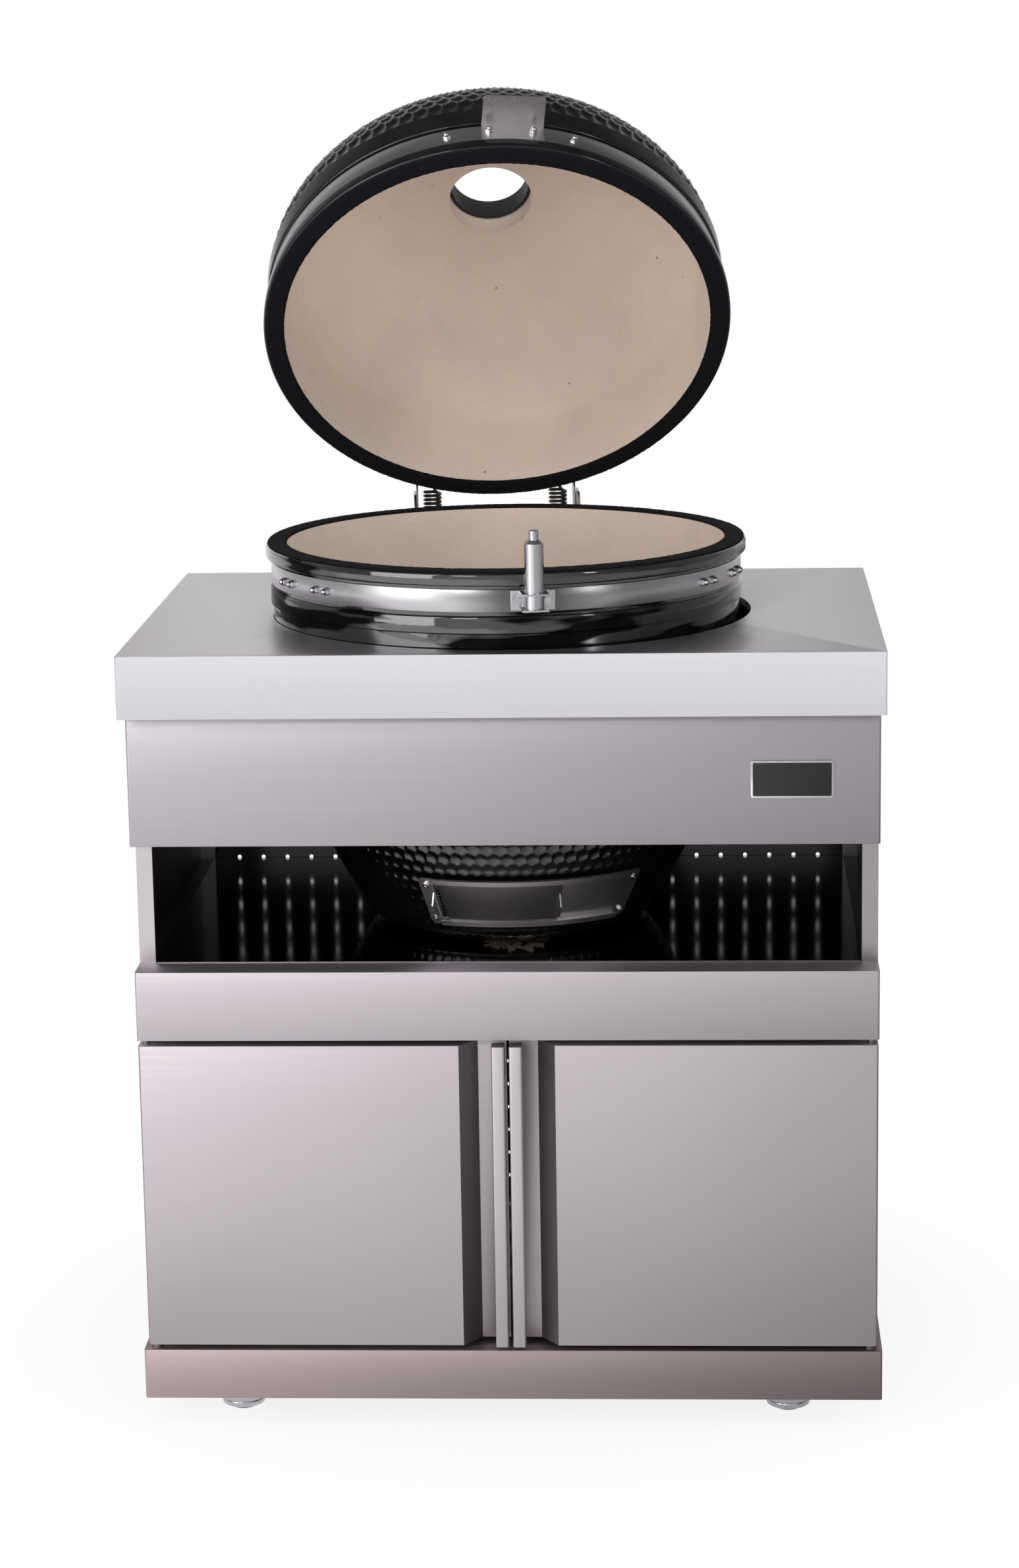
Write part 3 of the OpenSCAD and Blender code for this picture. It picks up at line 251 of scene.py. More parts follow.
# Badge place: a bare plate with a bright border
BADGE_W, BADGE_H = 93 * MM, 43 * MM
BADGE_X, BADGE_Z = 324.7 * MM, 766.8 * MM
BADGE_T = 1.6 * MM
BADGE_ROUND = 3 * MM
CORNER_STEPS = 6
BADGE_EDGE = 5 * MM
BADGE_PLATE_T = 0.5 * MM
BADGE_PLATE_ROUND = 1.6 * MM

# Feet
FOOT_SIDES = 72
FOOT_PAD_R = 25.5 * MM
INSERT_R = 16 * MM
INSERT_H = 6 * MM

# Points nearer than this are one
TOUCHING = 0.001 * MM

# Frames of the bowl, of the hinge and of the lid, whose Z goes up through its top and Y to its back
KAMADO = Matrix.Translation(AXIS)
TURNED = KAMADO @ Matrix.Rotation(TURN, 4, "Z")
LID = (
    TURNED
    @ Matrix.Translation((0, HINGE_R, HINGE_Z))
    @ Matrix.Rotation(-LID_OPEN, 4, "X")
    @ Matrix.Translation((0, -HINGE_R, LID_Z - HINGE_Z))
)


def add_camera():
    data = bpy.data.cameras.new("camera")
    data.sensor_fit = "VERTICAL"
    data.sensor_height = SENSOR
    data.lens = FOCAL_PIXELS / PHOTO_HEIGHT * SENSOR
    data.clip_end = VIEW_END
    camera = bpy.data.objects.new("camera", data)
    place = Vector(CAMERA_AT) + Vector((0, FRONT_Y, 0))
    turn = (
        Matrix.Rotation(math.radians(CAMERA_YAW), 4, "Z")
        @ Matrix.Rotation(math.radians(90 + CAMERA_PITCH), 4, "X")
        @ Matrix.Rotation(math.radians(CAMERA_ROLL), 4, "Z")
    )
    camera.matrix_world = Matrix.Translation(place) @ turn
    bpy.context.scene.collection.objects.link(camera)
    bpy.context.scene.camera = camera


add_camera()


# Shader nodes


def rgba(color, factor=1.0):
    """A colour made darker or lighter, with its alpha."""
    return (*(min(1.0, c * factor) for c in color), 1)


class Graph:
    """The nodes of one material or world, with short ways to add them and join them."""

    def __init__(self, owner, output):
        owner.use_nodes = True
        self.nodes, self.links = owner.node_tree.nodes, owner.node_tree.links
        self.nodes.clear()
        self.out = self.nodes.new(output).inputs["Surface"]

    def give(self, socket, value):
        """Joins an output to an input, or sets the input to a number or colour."""
        if isinstance(value, bpy.types.NodeSocket):
            self.links.new(value, socket)
        elif value is not None:
            socket.default_value = value

    def node(self, kind, inputs, output=0, **settings):
        """Adds a node and returns one of its outputs."""
        node = self.nodes.new("ShaderNode" + kind)
        for name, value in settings.items():
            setattr(node, name, value)
        for name, value in inputs.items():
            self.give(node.inputs[name], value)
        return node.outputs[output]

    def math(self, operation, first, second=None, third=None):
        return self.node("Math", {0: first, 1: second, 2: third}, operation=operation)

    def place(self, kind="Object"):
        return self.node("TexCoord", {}, kind)

    def scaled(self, scale=(1, 1, 1)):
        return self.node("Mapping", {"Vector": self.place(), "Scale": scale})

    def part(self, vector, axis):
        """One of a vector's three numbers."""
        return self.node("SeparateXYZ", {0: vector}, axis)

    def surface(self, kind="True Normal"):
        return self.node("NewGeometry", {}, kind)

    def ray(self, kind):
        """Whether light is followed from the camera, or from a mirror or clear thing."""
        return self.node("LightPath", {}, f"Is {kind} Ray")

    def noise(self, vector, scale, detail=3.0, rough=0.55):
        inputs = {"Vector": vector, "Scale": scale, "Detail": detail, "Roughness": rough}
        return self.node("TexNoise", inputs, "Fac")

    def spread(self, value, low, high, start=0.3, stop=0.7):
        """A value between two numbers, turned into one between two others."""
        inputs = {"Value": value, "From Min": start, "From Max": stop, "To Min": low, "To Max": high}
        return self.node("MapRange", inputs)

    def tint(self, value, dark, light, start=0.3, stop=0.7):
        """A noise value turned into a colour between two."""
        ramp = self.nodes.new("ShaderNodeValToRGB")
        for end, place, color in zip(ramp.color_ramp.elements, (start, stop), (dark, light)):
            end.position = place
            end.color = color
        self.give(ramp.inputs[0], value)
        return ramp.outputs[0]

    def mixed(self, share, first, second, **settings):
        return self.node("Mix", {0: share, 6: first, 7: second}, 2, data_type="RGBA", **settings)

    def either(self, share, first, second):
        """One shader or the other."""
        return self.node("MixShader", {0: share, 1: first, 2: second})

    def bump(self, height, distance, strength, before=None):
        inputs = {"Distance": distance, "Strength": strength, "Height": height, "Normal": before}
        return self.node("Bump", inputs)

    def dimmed(self, color, fade, start=FADE_LEFT, stop=FADE_RIGHT, middle=None, axis="X"):
        """A colour that changes evenly between two places on an axis, or from a middle outwards."""
        across = self.part(self.place(), axis)
        if middle is not None:
            across = self.math("ABSOLUTE", self.math("SUBTRACT", across, middle))
        inputs = {0: color, "Scale": self.spread(across, *fade, start, stop)}
        return self.node("VectorMath", inputs, operation="SCALE")


class Finish(Graph):
    """A material with one principled shader."""

    def __init__(self, name):
        self.material = bpy.data.materials.new(name)
        super().__init__(self.material, "ShaderNodeOutputMaterial")
        self.shader = self.nodes.new("ShaderNodeBsdfPrincipled")
        self.give(self.out, self.shader.outputs[0])

    def set(self, name, value):
        self.give(self.shader.inputs[name], value)

    def color(self):
        """The colour that the shader has so far."""
        return self.shader.inputs["Base Color"].links[0].from_socket


# Stage


def floor_white():
    """White floor with a light shadow; mirrors see it dim towards the right and close to the plinth."""
    mat = bpy.data.materials.new("floor_white")
    graph = Graph(mat, "ShaderNodeOutputMaterial")
    seen = graph.ray("Camera")
    across = graph.spread(graph.part(graph.place(), "X"), *FLOOR_ACROSS)
    ahead = graph.spread(graph.part(graph.place(), "Y"), *FLOOR_AHEAD)
    strength = graph.node("Mix", {0: seen, 2: graph.math("MULTIPLY", across, ahead), 3: 1})
    far = graph.node("VectorMath", {0: graph.place()}, "Value", operation="LENGTH")
    share = graph.spread(far, SHADOW_SHARE, 1, SHADOW_NEAR, SHADOW_FAR)
    mirrored = graph.math("MAXIMUM", graph.ray("Glossy"), graph.ray("Transmission"))
    lit = graph.node("BsdfDiffuse", {"Color": rgba(FLOOR_PAINT)})
    glow = graph.node("Emission", {"Color": WHITE, "Strength": strength})
    glowing = graph.math("MAXIMUM", graph.math("MULTIPLY", seen, share), mirrored)
    graph.give(graph.out, graph.either(glowing, lit, glow))
    return mat


def room_level(graph):
    """What mirrors see of the room: more light behind and at the left, less at the sides and overhead."""
    where = graph.place("Generated")
    x, y, z = (graph.part(where, axis) for axis in "XYZ")
    level = graph.spread(y, *ROOM_DEPTH)
    for value, way in ((graph.math("ABSOLUTE", x), ROOM_SIDES), (x, ROOM_ACROSS), (z, ROOM_TOP)):
        level = graph.math("MULTIPLY", level, graph.spread(value, *way))
    return level


def add_stage():
    bpy.ops.mesh.primitive_plane_add(size=FLOOR_SIZE, location=(0, 0, 0))
    floor = bpy.context.object
    floor.name = "floor"
    floor.data.materials.append(floor_white())
    world = bpy.data.worlds.new("world")
    bpy.context.scene.world = world
    graph = Graph(world, "ShaderNodeOutputWorld")
    light, mirrored, shown = (
        graph.node("Background", {"Color": WHITE, "Strength": strength})
        for strength in (WORLD_LIGHT, room_level(graph), 1)
    )
    glossy = graph.either(graph.ray("Glossy"), light, mirrored)
    direct = graph.math("MAXIMUM", graph.ray("Camera"), graph.ray("Transmission"))
    graph.give(graph.out, graph.either(direct, glossy, shown))


def add_lights():
    for name, (place, target, width, height, power, mirrored) in LAMPS.items():
        data = bpy.data.lights.new(name, "AREA")
        data.shape = "RECTANGLE"
        data.size = width
        data.size_y = height
        data.energy = power
        lamp = bpy.data.objects.new(name, data)
        lamp.location = place
        aim = Vector(target) - Vector(place)
        lamp.rotation_euler = aim.to_track_quat("-Z", "Y").to_euler()
        lamp.visible_camera = False
        lamp.visible_glossy = mirrored
        bpy.context.scene.collection.objects.link(lamp)


add_stage()
add_lights()
bpy.context.scene.view_settings.view_transform = "Standard"


# Materials


def drawn_lines(finish, grain, depth=0.02):
    """Noise drawn out into fine lines, with their relief."""
    lines = finish.noise(finish.scaled(grain), 1.0, 4.0, 0.6)
    finish.set("Normal", finish.bump(lines, depth * MM, 0.35))
    return lines


def varied(finish, value, color, share, start=0.3, stop=0.7):
    """A colour that a noise value makes a share darker or lighter."""
    return finish.tint(value, rgba(color, 1 - share), rgba(color, 1 + share), start, stop)


def brushed_steel(name, color, rough, grain, streak=0.05, cloud=0.05, depth=0.02, fade=None):
    """Sheet with fine drawn lines. A fade is painted light that dims it towards the right."""
    finish = Finish(name)
    lines = drawn_lines(finish, grain, depth)
    clouds = finish.noise(finish.scaled(), 3.2, 2.0, 0.5)
    fine = varied(finish, lines, color, streak, 0.25, 0.75)
    drawn = finish.mixed(0.5, fine, varied(finish, clouds, color, cloud))
    if fade is not None:
        drawn = finish.dimmed(drawn, fade)
    finish.set("Metallic", 1.0)
    finish.set("Base Color", drawn)
    finish.set("Roughness", finish.spread(lines, rough * 0.85, rough * 1.15))
    return finish


def worktop_steel(name, upper, upright):
    """Drawn sheet whose folded edge is duller and, as painted light, brighter than its upper face; both
    faces carry painted light that changes across the unit.
    """
    finish = Finish(name)
    lines = drawn_lines(finish, ALONG_X)
    level, edge = (
        finish.dimmed(varied(finish, lines, color, 0.02, 0.25, 0.75), fade)
        for color, fade in ((upper, (1.1, 0.98)), (upright, (0.9, 1.08)))
    )
    up = finish.part(finish.surface(), "Z")
    folded, metal, rough = (
        finish.spread(up, *levels, 0.2, 0.9) for levels in ((1.0, 0.0), (0.5, 1.0), (0.62, 0.32))
    )
    # painted light: the upright face's colour is brighter than the upper face's
    finish.set("Base Color", finish.mixed(folded, level, edge))
    finish.set("Metallic", metal)
    finish.set("Roughness", rough)
    return finish


def door_steel(name, color):
    """The front sheet's finish, with painted shade on the slanted sides of the recess."""
    finish = brushed_steel(name, color, 0.5, ALONG_X, **EVEN)
    side = finish.math("ABSOLUTE", finish.part(finish.surface(), "X"))
    turned = finish.spread(side, 0.0, 1.0, 0.55, 0.75)
    not_square = finish.spread(side, 1.0, 0.0, 0.86, 0.97)
    slanted = finish.math("MULTIPLY", turned, not_square)
    # painted shade: the slanted sides of the recess are darker
    finish.set("Base Color", finish.mixed(slanted, finish.color(), rgba(color, 0.42)))
    return finish


def side_steel(name, color):
    """Body sheet with painted shade on its faces towards the middle of the cabinet, and painted light that
    dims towards the right.
    """
    finish = brushed_steel(name, color, 0.36, ALONG_Z, fade=(0.97, 0.84))
    inputs = {0: finish.surface(), 1: finish.surface("Position")}
    outward = finish.node("VectorMath", inputs, operation="MULTIPLY")
    inward = finish.spread(finish.part(outward, "X"), 1.0, 0.0, -0.3, -0.1)
    # painted shade on the faces towards the middle of the cabinet
    finish.set("Base Color", finish.mixed(inward, finish.color(), rgba(color, 0.22)))
    return finish


def inner_steel(name, dark, outside):
    """Sheet that lies in the dark inside the cabinet, coloured near black as painted shade, and has the
    body's finish behind it.
    """
    finish = brushed_steel(name, dark, 0.12, ALONG_X, streak=0.03)
    back = finish.part(finish.surface(), "Y")
    behind = finish.spread(back, 0.0, 1.0, 0.3, 0.6)
    finish.set("Base Color", finish.mixed(behind, finish.color(), rgba(outside)))
    finish.set("Roughness", finish.spread(back, 0.12, 0.36, 0.3, 0.6))
    return finish


def band_metal(name, color):
    """The band's drawn sheet, darker at its front as a painted reflection of the dark middle of the room,
    and lighter further out as a painted highlight.
    """
    finish = brushed_steel(name, color, 0.3, ALONG_BAND, streak=0.12)
    # painted reflection: darker near the middle of the front; painted highlight: lighter towards both sides
    front = finish.dimmed(finish.color(), (0.36, 1.0), 0.03, 0.085, 0.033)
    finish.set("Base Color", finish.dimmed(front, (1.0, 1.7), 0.14, 0.2, 0.0))
    return finish


def glaze(name, gloss):
    """Black glaze with a slight orange peel, and the noise of its waves."""
    finish = Finish(name)
    where = finish.scaled()
    peel = finish.noise(where, 110.0, 2.0)
    waves = finish.noise(where, 26.0, 2.0)
    finish.set("Specular IOR Level", gloss)
    finish.set("Base Color", finish.tint(waves, rgba((0.002, 0.002, 0.0023)), rgba((0.005, 0.005, 0.0058))))
    finish.set("Roughness", finish.spread(peel, 0.03, 0.08))
    soft = finish.bump(waves, 0.8 * MM, 0.5)
    finish.set("Normal", finish.bump(peel, 0.08 * MM, 0.3, soft))
    return finish, waves


def chipped_glaze(name, gloss, foot_z):
    """The glaze with bare clay where the foot missed it, lightened as painted light, and a collar whose
    reflection is painted in patches.
    """
    finish, waves = glaze(name, gloss)
    across, height = (finish.part(finish.place(), axis) for axis in "XZ")
    chips = finish.noise(finish.scaled(), 95.0, 4.0, 0.7)
    for start, stop in CHIPS:
        chips = finish.math("MULTIPLY", chips, finish.spread(across, 0.0, 1.0, start, stop))
    edge = finish.math("MULTIPLY_ADD", chips, CHIP_HEIGHT, foot_z - CHIP_DROP)
    bare = finish.math("LESS_THAN", height, edge)
    # real chips, but the bare clay is lighter than the bowl's clay, as painted light in the shaded bay
    body = finish.tint(waves, rgba((0.70, 0.60, 0.42)), rgba((0.95, 0.85, 0.65)))
    finish.set("Base Color", finish.mixed(bare, finish.color(), body))
    smooth = finish.shader.inputs["Roughness"].links[0].from_socket
    finish.set("Roughness", finish.math("MULTIPLY_ADD", bare, 0.6, smooth))
    # painted reflection: noise streaks along the collar set where it mirrors, as if of a room with lamps
    painted_reflection_streaks = finish.noise(finish.scaled((6, 6, 44)), 1.0, 2.0, 0.5)
    patches = finish.spread(painted_reflection_streaks, 0.02, gloss, 0.43, 0.48)
    below = finish.spread(height, gloss, 0.0, COLLAR_FROM, COLLAR_FULL)
    mirror = finish.math("MAXIMUM", patches, below)
    collar = finish.spread(height, 0.0, 1.0, COLLAR_FROM, COLLAR_FULL)
    finish.set("Specular IOR Level", mirror)
    finish.set("Coat Weight", finish.math("MULTIPLY", mirror, collar))
    return finish


def fired_clay(name, color, speck=0.05, rise=None):
    """Unglazed clay: cloudy, grainy, with small rusty specks; with a rise, painted shade low in the lid and
    painted light high up.
    """
    finish = Finish(name)
    where = finish.scaled()
    clouds = finish.noise(where, 6.5, 4.0, 0.6)
    grains = finish.noise(where, 650.0, 3.0, 0.7)
    body = finish.tint(clouds, rgba(color, 0.90), rgba(color, 1.07), 0.3, 0.72)
    spots = finish.node("TexVoronoi", {"Vector": where, "Scale": 55.0, "Randomness": 1.0}, "Distance")
    size = finish.spread(finish.noise(where, 31.0, 2.0, 0.6), 0.0, speck * 2.6, 0.5, 0.74)
    speckled = finish.mixed(finish.math("LESS_THAN", spots, size), body, rgba(RUST))
    grain = finish.tint(grains, rgba((0.80, 0.77, 0.74)), WHITE, 0.3, 0.5)
    lit = finish.mixed(0.55, speckled, grain, blend_type="MULTIPLY")
    if rise is not None:
        lit = finish.dimmed(lit, rise, RISE_FROM, RISE_TO, axis="Z")
    finish.set("Base Color", lit)
    finish.set("Roughness", finish.spread(clouds, 0.72, 0.9))
    soft = finish.bump(clouds, 1.2 * MM, 0.5)
    finish.set("Normal", finish.bump(grains, 0.35 * MM, 0.5, soft))
    return finish


def felt_cloth(name):
    finish = Finish(name)
    where = finish.scaled()
    fibres = finish.noise(where, 900.0, 4.0, 0.8)
    lumps = finish.noise(where, 120.0, 3.0, 0.6)
    finish.set("Base Color", finish.tint(fibres, rgba((0.002, 0.002, 0.003)), rgba((0.014, 0.013, 0.017))))
    finish.set("Roughness", 0.95)
    finish.set("Specular IOR Level", 0.1)
    rough = finish.bump(lumps, 0.8 * MM, 0.6)
    finish.set("Normal", finish.bump(fibres, 0.4 * MM, 0.8, rough))
    return finish


def plain(name, color, rough, metal, scale, vary, depth):
    """Plastic, rubber, plating or casting, with a fine grain of its own."""
    finish = Finish(name)
    grain = finish.noise(finish.scaled(), scale, 3.0, 0.6)
    finish.set("Metallic", metal)
    finish.set("Base Color", varied(finish, grain, color, vary))
    finish.set("Roughness", finish.spread(grain, rough * 0.8, rough * 1.2))
    finish.set("Normal", finish.bump(grain, depth * MM, 0.4))
    return finish


# worktop: its upright face brighter as painted light, and painted light across the unit
steel_top = worktop_steel("steel_worktop", (0.63, 0.60, 0.635), (0.66, 0.65, 0.68))
steel_door = door_steel("steel_door", FRONT_GREY)
steel_handle = brushed_steel("steel_handle", (0.60, 0.56, 0.585), 0.42, ALONG_X, streak=0.03)
steel_front = brushed_steel("steel_front", FRONT_GREY, 0.5, ALONG_X, **EVEN)
# fascia and plinth: darker greys as painted shade, and fades as painted light that dims towards the right
steel_fascia = brushed_steel("steel_fascia", SHADED_FASCIA_GREY, 0.5, ALONG_X, fade=(1.0, 0.96), **EVEN)
steel_plinth = brushed_steel("steel_plinth", SHADED_PLINTH_GREY, 0.5, ALONG_X, fade=(1.1, 0.62), **EVEN)
steel_side = side_steel("steel_body", (0.56, 0.53, 0.55))
# sheet inside the cabinet: near black as painted shade
steel_inside = inner_steel("steel_inside", (0.08, 0.075, 0.08), (0.54, 0.51, 0.53))
# shelf: darker steel as painted shade in the bay
steel_shelf = brushed_steel("steel_shelf", (0.32, 0.305, 0.325), 0.09, ALONG_X, depth=0.03)
steel_dark = brushed_steel("steel_dark", (0.30, 0.29, 0.30), 0.4, ALONG_X)
steel_band = brushed_steel("band_steel", BAND_GREY, 0.27, ALONG_BAND, streak=0.12)
steel_bowl_band = band_metal("bowl_band_steel", BAND_GREY)
steel_plate = brushed_steel("plate_steel", (0.58, 0.57, 0.59), 0.24, ALONG_PLATE, streak=0.03)
steel_catch = brushed_steel("catch_steel", (0.62, 0.60, 0.61), 0.4, ALONG_PLATE, streak=0.03)
steel_draft = brushed_steel("draft_steel", (0.39, 0.38, 0.39), 0.3, ALONG_DRAFT, 0.08, depth=0.01)
# draft frame: much lighter steel than the slide's, as painted light on its lip in the shaded bay
steel_flange = brushed_steel("draft_frame_steel", (0.95, 0.93, 0.94), 0.34, ALONG_DRAFT, 0.06, depth=0.01)
chrome = plain("foot_chrome", (0.66, 0.66, 0.69), 0.16, 1.0, 90.0, 0.03, 0.01)
bolt_chrome = plain("bolt_chrome", (0.66, 0.65, 0.67), 0.12, 1.0, 200.0, 0.06, 0.02)
wire_dark = plain("spring_steel", (0.045, 0.034, 0.028), 0.3, 0.4, 400.0, 0.2, 0.05)
rubber = plain("foot_rubber", (0.022, 0.022, 0.024), 0.55, 0.0, 600.0, 0.2, 0.06)
iron = plain("iron_black", (0.030, 0.030, 0.032), 0.5, 0.2, 350.0, 0.3, 0.25)
plastic = plain("catch_plastic", (0.03, 0.03, 0.03), 0.4, 0.0, 300.0, 0.1, 0.03)
badge_black = plain("badge_black", (0.006, 0.006, 0.007), 0.45, 0.0, 300.0, 0.1, 0.02)
grate_steel = brushed_steel("grate_steel", (0.52, 0.50, 0.50), 0.3, ALONG_X)
black_glaze = glaze("ceramic_glazed", 0.5)[0]
bowl_glaze = chipped_glaze("ceramic_glazed_bowl", 1.0, BOWL_Z)
# the lid's clay: painted shade low in the lid, painted light high up
clay = fired_clay("ceramic_clay", (0.755, 0.64, 0.56), rise=(0.87, 1.1))
# the bowl's clay is a darker copy of the lid's, as painted shade
bowl_clay = fired_clay("ceramic_clay_bowl", (0.68, 0.57, 0.485))
brick = fired_clay("firebrick", (0.50, 0.41, 0.34), 0.08)
felt = felt_cloth("felt_black")


# Mesh helpers


def link(piece):
    bpy.context.scene.collection.objects.link(piece)
    return piece


def piece_of(name, points, faces, finishes, where=Matrix.Identity(4), marks=None):
    """A smooth piece from points and faces; the marks say which finish each face has."""
    mesh = bpy.data.meshes.new(name)
    mesh.from_pydata([tuple(p) for p in points], [], faces)
    for finish in finishes:
        mesh.materials.append(finish.material)
    if marks is not None:
        mesh.polygons.foreach_set("material_index", marks)
    mesh.polygons.foreach_set("use_smooth", [True] * len(faces))
    mesh.transform(where)
    mesh.update()
    return link(bpy.data.objects.new(name, mesh))


@contextlib.contextmanager
def edited(piece):
    """The points, edges and faces of a piece, written back after the changes."""
    bm = bmesh.new()
    bm.from_mesh(piece.data)
    yield bm
    bm.to_mesh(piece.data)
    bm.free()


def sharp_edges(piece, degrees=35):
    """Keeps the smooth shading off edges that turn by more than an angle."""
    with edited(piece) as bm:
        for edge in bm.edges:
            if len(edge.link_faces) == 2:
                edge.smooth = edge.calc_face_angle(0) < math.radians(degrees)


def tidy_mesh(piece):
    """Joins points that meet on the axis and turns all faces outwards."""
    with edited(piece) as bm:
        bmesh.ops.remove_doubles(bm, verts=bm.verts, dist=TOUCHING)
        bmesh.ops.dissolve_degenerate(bm, edges=bm.edges, dist=TOUCHING)
        bmesh.ops.recalc_face_normals(bm, faces=bm.faces)


def rounded_over(piece, width, segments=2, hardened=False):
    edge = piece.modifiers.new("edges", "BEVEL")
    edge.width = width
    edge.segments = segments
    edge.limit_method = "ANGLE"
    edge.angle_limit = math.radians(30)
    edge.harden_normals = hardened


def keep(piece, body, slot, *nodes):
    """The body that a piece moves with, and the CAD nodes that it stands for, which are hidden. The slot is
    not used.
    """
    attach(piece, body)
    if nodes:
        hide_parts(*nodes)


def dress(finish, *names):
    """A finish for CAD nodes whose own shape stays."""
    for name in names:
        node = frame["nodes"][name]
        if not node.material_slots:
            node.data.materials.append(finish.material)
        for place in node.material_slots:
            place.material = finish.material


def copied(node, name, finish):
    """A piece with the shape of a CAD node."""
    mesh = frame["nodes"][node].data.copy()
    mesh.name = name
    mesh.materials.clear()
    mesh.materials.append(finish.material)
    mesh.polygons.foreach_set("material_index", [0] * len(mesh.polygons))
    return link(bpy.data.objects.new(name, mesh))


def softened(node, finish, slot, width, segments=2):
    """A copy of a CAD node with its sharp edges rounded over, which stands for the node."""
    piece = copied(node, node + "_skin", finish)
    with edited(piece) as bm:
        bmesh.ops.remove_doubles(bm, verts=bm.verts, dist=0.002 * MM)
        bmesh.ops.dissolve_limit(bm, angle_limit=math.radians(0.5), verts=bm.verts, edges=bm.edges)
        for face in bm.faces:
            face.smooth = True
    rounded_over(piece, width * MM, segments, hardened=True)
    keep(piece, frame["nodes"][node]["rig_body"], slot, node)


def arc(cx, cy, r, a0, a1, steps):
    """Points of an arc, with its angles in degrees."""
    angles = [math.radians(a0 + (a1 - a0) * i / steps) for i in range(steps + 1)]
    return [(cx + r * math.cos(a), cy + r * math.sin(a)) for a in angles]


def corners(sides):
    """Cosine and sine of each corner's angle."""
    angles = [2 * math.pi * k / sides for k in range(sides)]
    return [(math.cos(a), math.sin(a)) for a in angles]


def ring_faces(count, n):
    """Faces between closed outlines of n points each that stand round an axis."""
    faces = []
    for i in range(count):
        here, there = i * n, (i + 1) % count * n
        faces += [(here + k, there + k, there + (k + 1) % n, here + (k + 1) % n) for k in range(n)]
    return faces


def stacked_faces(count, n):
    """Faces between circles of n points each that stand one above the other, with both ends closed."""
    faces = []
    for i in range(count - 1):
        here, there = i * n, (i + 1) * n
        faces += [(here + k, here + (k + 1) % n, there + (k + 1) % n, there + k) for k in range(n)]
    return faces + [tuple(reversed(range(n))), tuple(range((count - 1) * n, count * n))]


def lathe(name, outline, finish, where, sides):
    """A closed outline in radius and height, turned about Z."""
    points = []
    for i in range(sides):
        a = math.radians(360 * i / sides - 90)
        points += [(r * math.cos(a), r * math.sin(a), z) for r, z in outline]
    piece = piece_of(name, points, ring_faces(sides, len(outline)), [finish], where)
    tidy_mesh(piece)
    sharp_edges(piece)
    return piece


def tube(name, path, radius, finish, sides=10):
    """A round wire along a list of points, with closed ends."""
    points = []
    normal = None
    for i, point in enumerate(path):
        ahead = (path[min(i + 1, len(path) - 1)] - path[max(i - 1, 0)]).normalized()
        if normal is None:
            normal = ahead.orthogonal().normalized()
        normal = (normal - ahead * normal.dot(ahead)).normalized()
        other = ahead.cross(normal)
        points += [point + radius * (c * normal + s * other) for c, s in corners(sides)]
    piece = piece_of(name, points, stacked_faces(len(path), sides), [finish])
    sharp_edges(piece, 50)
    return piece


def joined(name, pieces):
    """One piece from several."""
    first = pieces[0]
    chosen = {"active_object": first, "selected_objects": pieces, "selected_editable_objects": pieces}
    with bpy.context.temp_override(**chosen):
        bpy.ops.object.join()
    first.name = name
    first.data.name = name
    return first


def at_angle(a, r, z):
    """Place at an angle from the front, with X pointing outwards."""
    return Matrix.Rotation(math.radians(a - 90), 4, "Z") @ Matrix.Translation((r, 0, z))


# Egg


def bowl_r(z):
    """Outer radius of the bowl at a height."""
    return BELLY_R - SIDE_ARC_R + math.sqrt(SIDE_ARC_R**2 - (z - BELLY_Z) ** 2)


def bowl_inner(z):
    """Inner radius of the bowl at a height."""
    if z > BELLY_Z:
        return BELLY_R - WALL + (z - BELLY_Z) * (RIM_R - BELLY_R) / (RIM_Z - BELLY_Z)
    return BELLY_R - SIDE_ARC_R + math.sqrt((SIDE_ARC_R - WALL) ** 2 - (z - BELLY_Z) ** 2)


def dome_curve(wall, steps):
    """The dome's line from its widest place to the vent, a wall's thickness further in."""
    r = BELLY_R - wall
    h = DOME_H - wall - DOME_BELLY_H
    last = math.acos((VENT_R / r) ** (FULLNESS / 2))
    angles = [last * i / steps for i in range(steps + 1)]
    power = 2 / FULLNESS
    return [(r * math.cos(a) ** power, DOME_BELLY_H + h * math.sin(a) ** power) for a in angles]


def rim_outline(z, side):
    """Lip, seat of the band and collar, from the rim away: side is 1 up the lid and -1 down the bowl."""
    upper = arc(RIM_R - LIP_ROUND, 0, LIP_ROUND, 90, 0, ROUND_STEPS)
    lower = arc(RIM_R - LIP_ROUND, 0, LIP_ROUND, 0, 90, ROUND_STEPS)
    collar = arc(COLLAR_R - LIP_ROUND, 0, LIP_ROUND, 90, 0, ROUND_STEPS)
    line = [(r, LIP_ROUND - h) for r, h in upper]
    line += [(r, LIP_H - LIP_ROUND + h) for r, h in lower]
    line += [(SEAT_R, LIP_H), (SEAT_R, SEAT_H)]
    line += [(r, SEAT_H + LIP_ROUND - h) for r, h in collar]
    return [(r, z + side * h) for r, h in line]


def along(points, step):
    """The same line with points no further apart than step."""
    line = [Vector(points[0])]
    for a, b in zip(points, points[1:]):
        a, b = Vector(a), Vector(b)
        count = max(1, math.ceil((b - a).length / step))
        line += [a.lerp(b, i / count) for i in range(1, count + 1)]
    return line


def lengths_of(line):
    """Length of a line up to each of its points."""
    lengths = [0.0]
    for a, b in zip(line, line[1:]):
        lengths.append(lengths[-1] + (Vector(b) - Vector(a)).length)
    return lengths


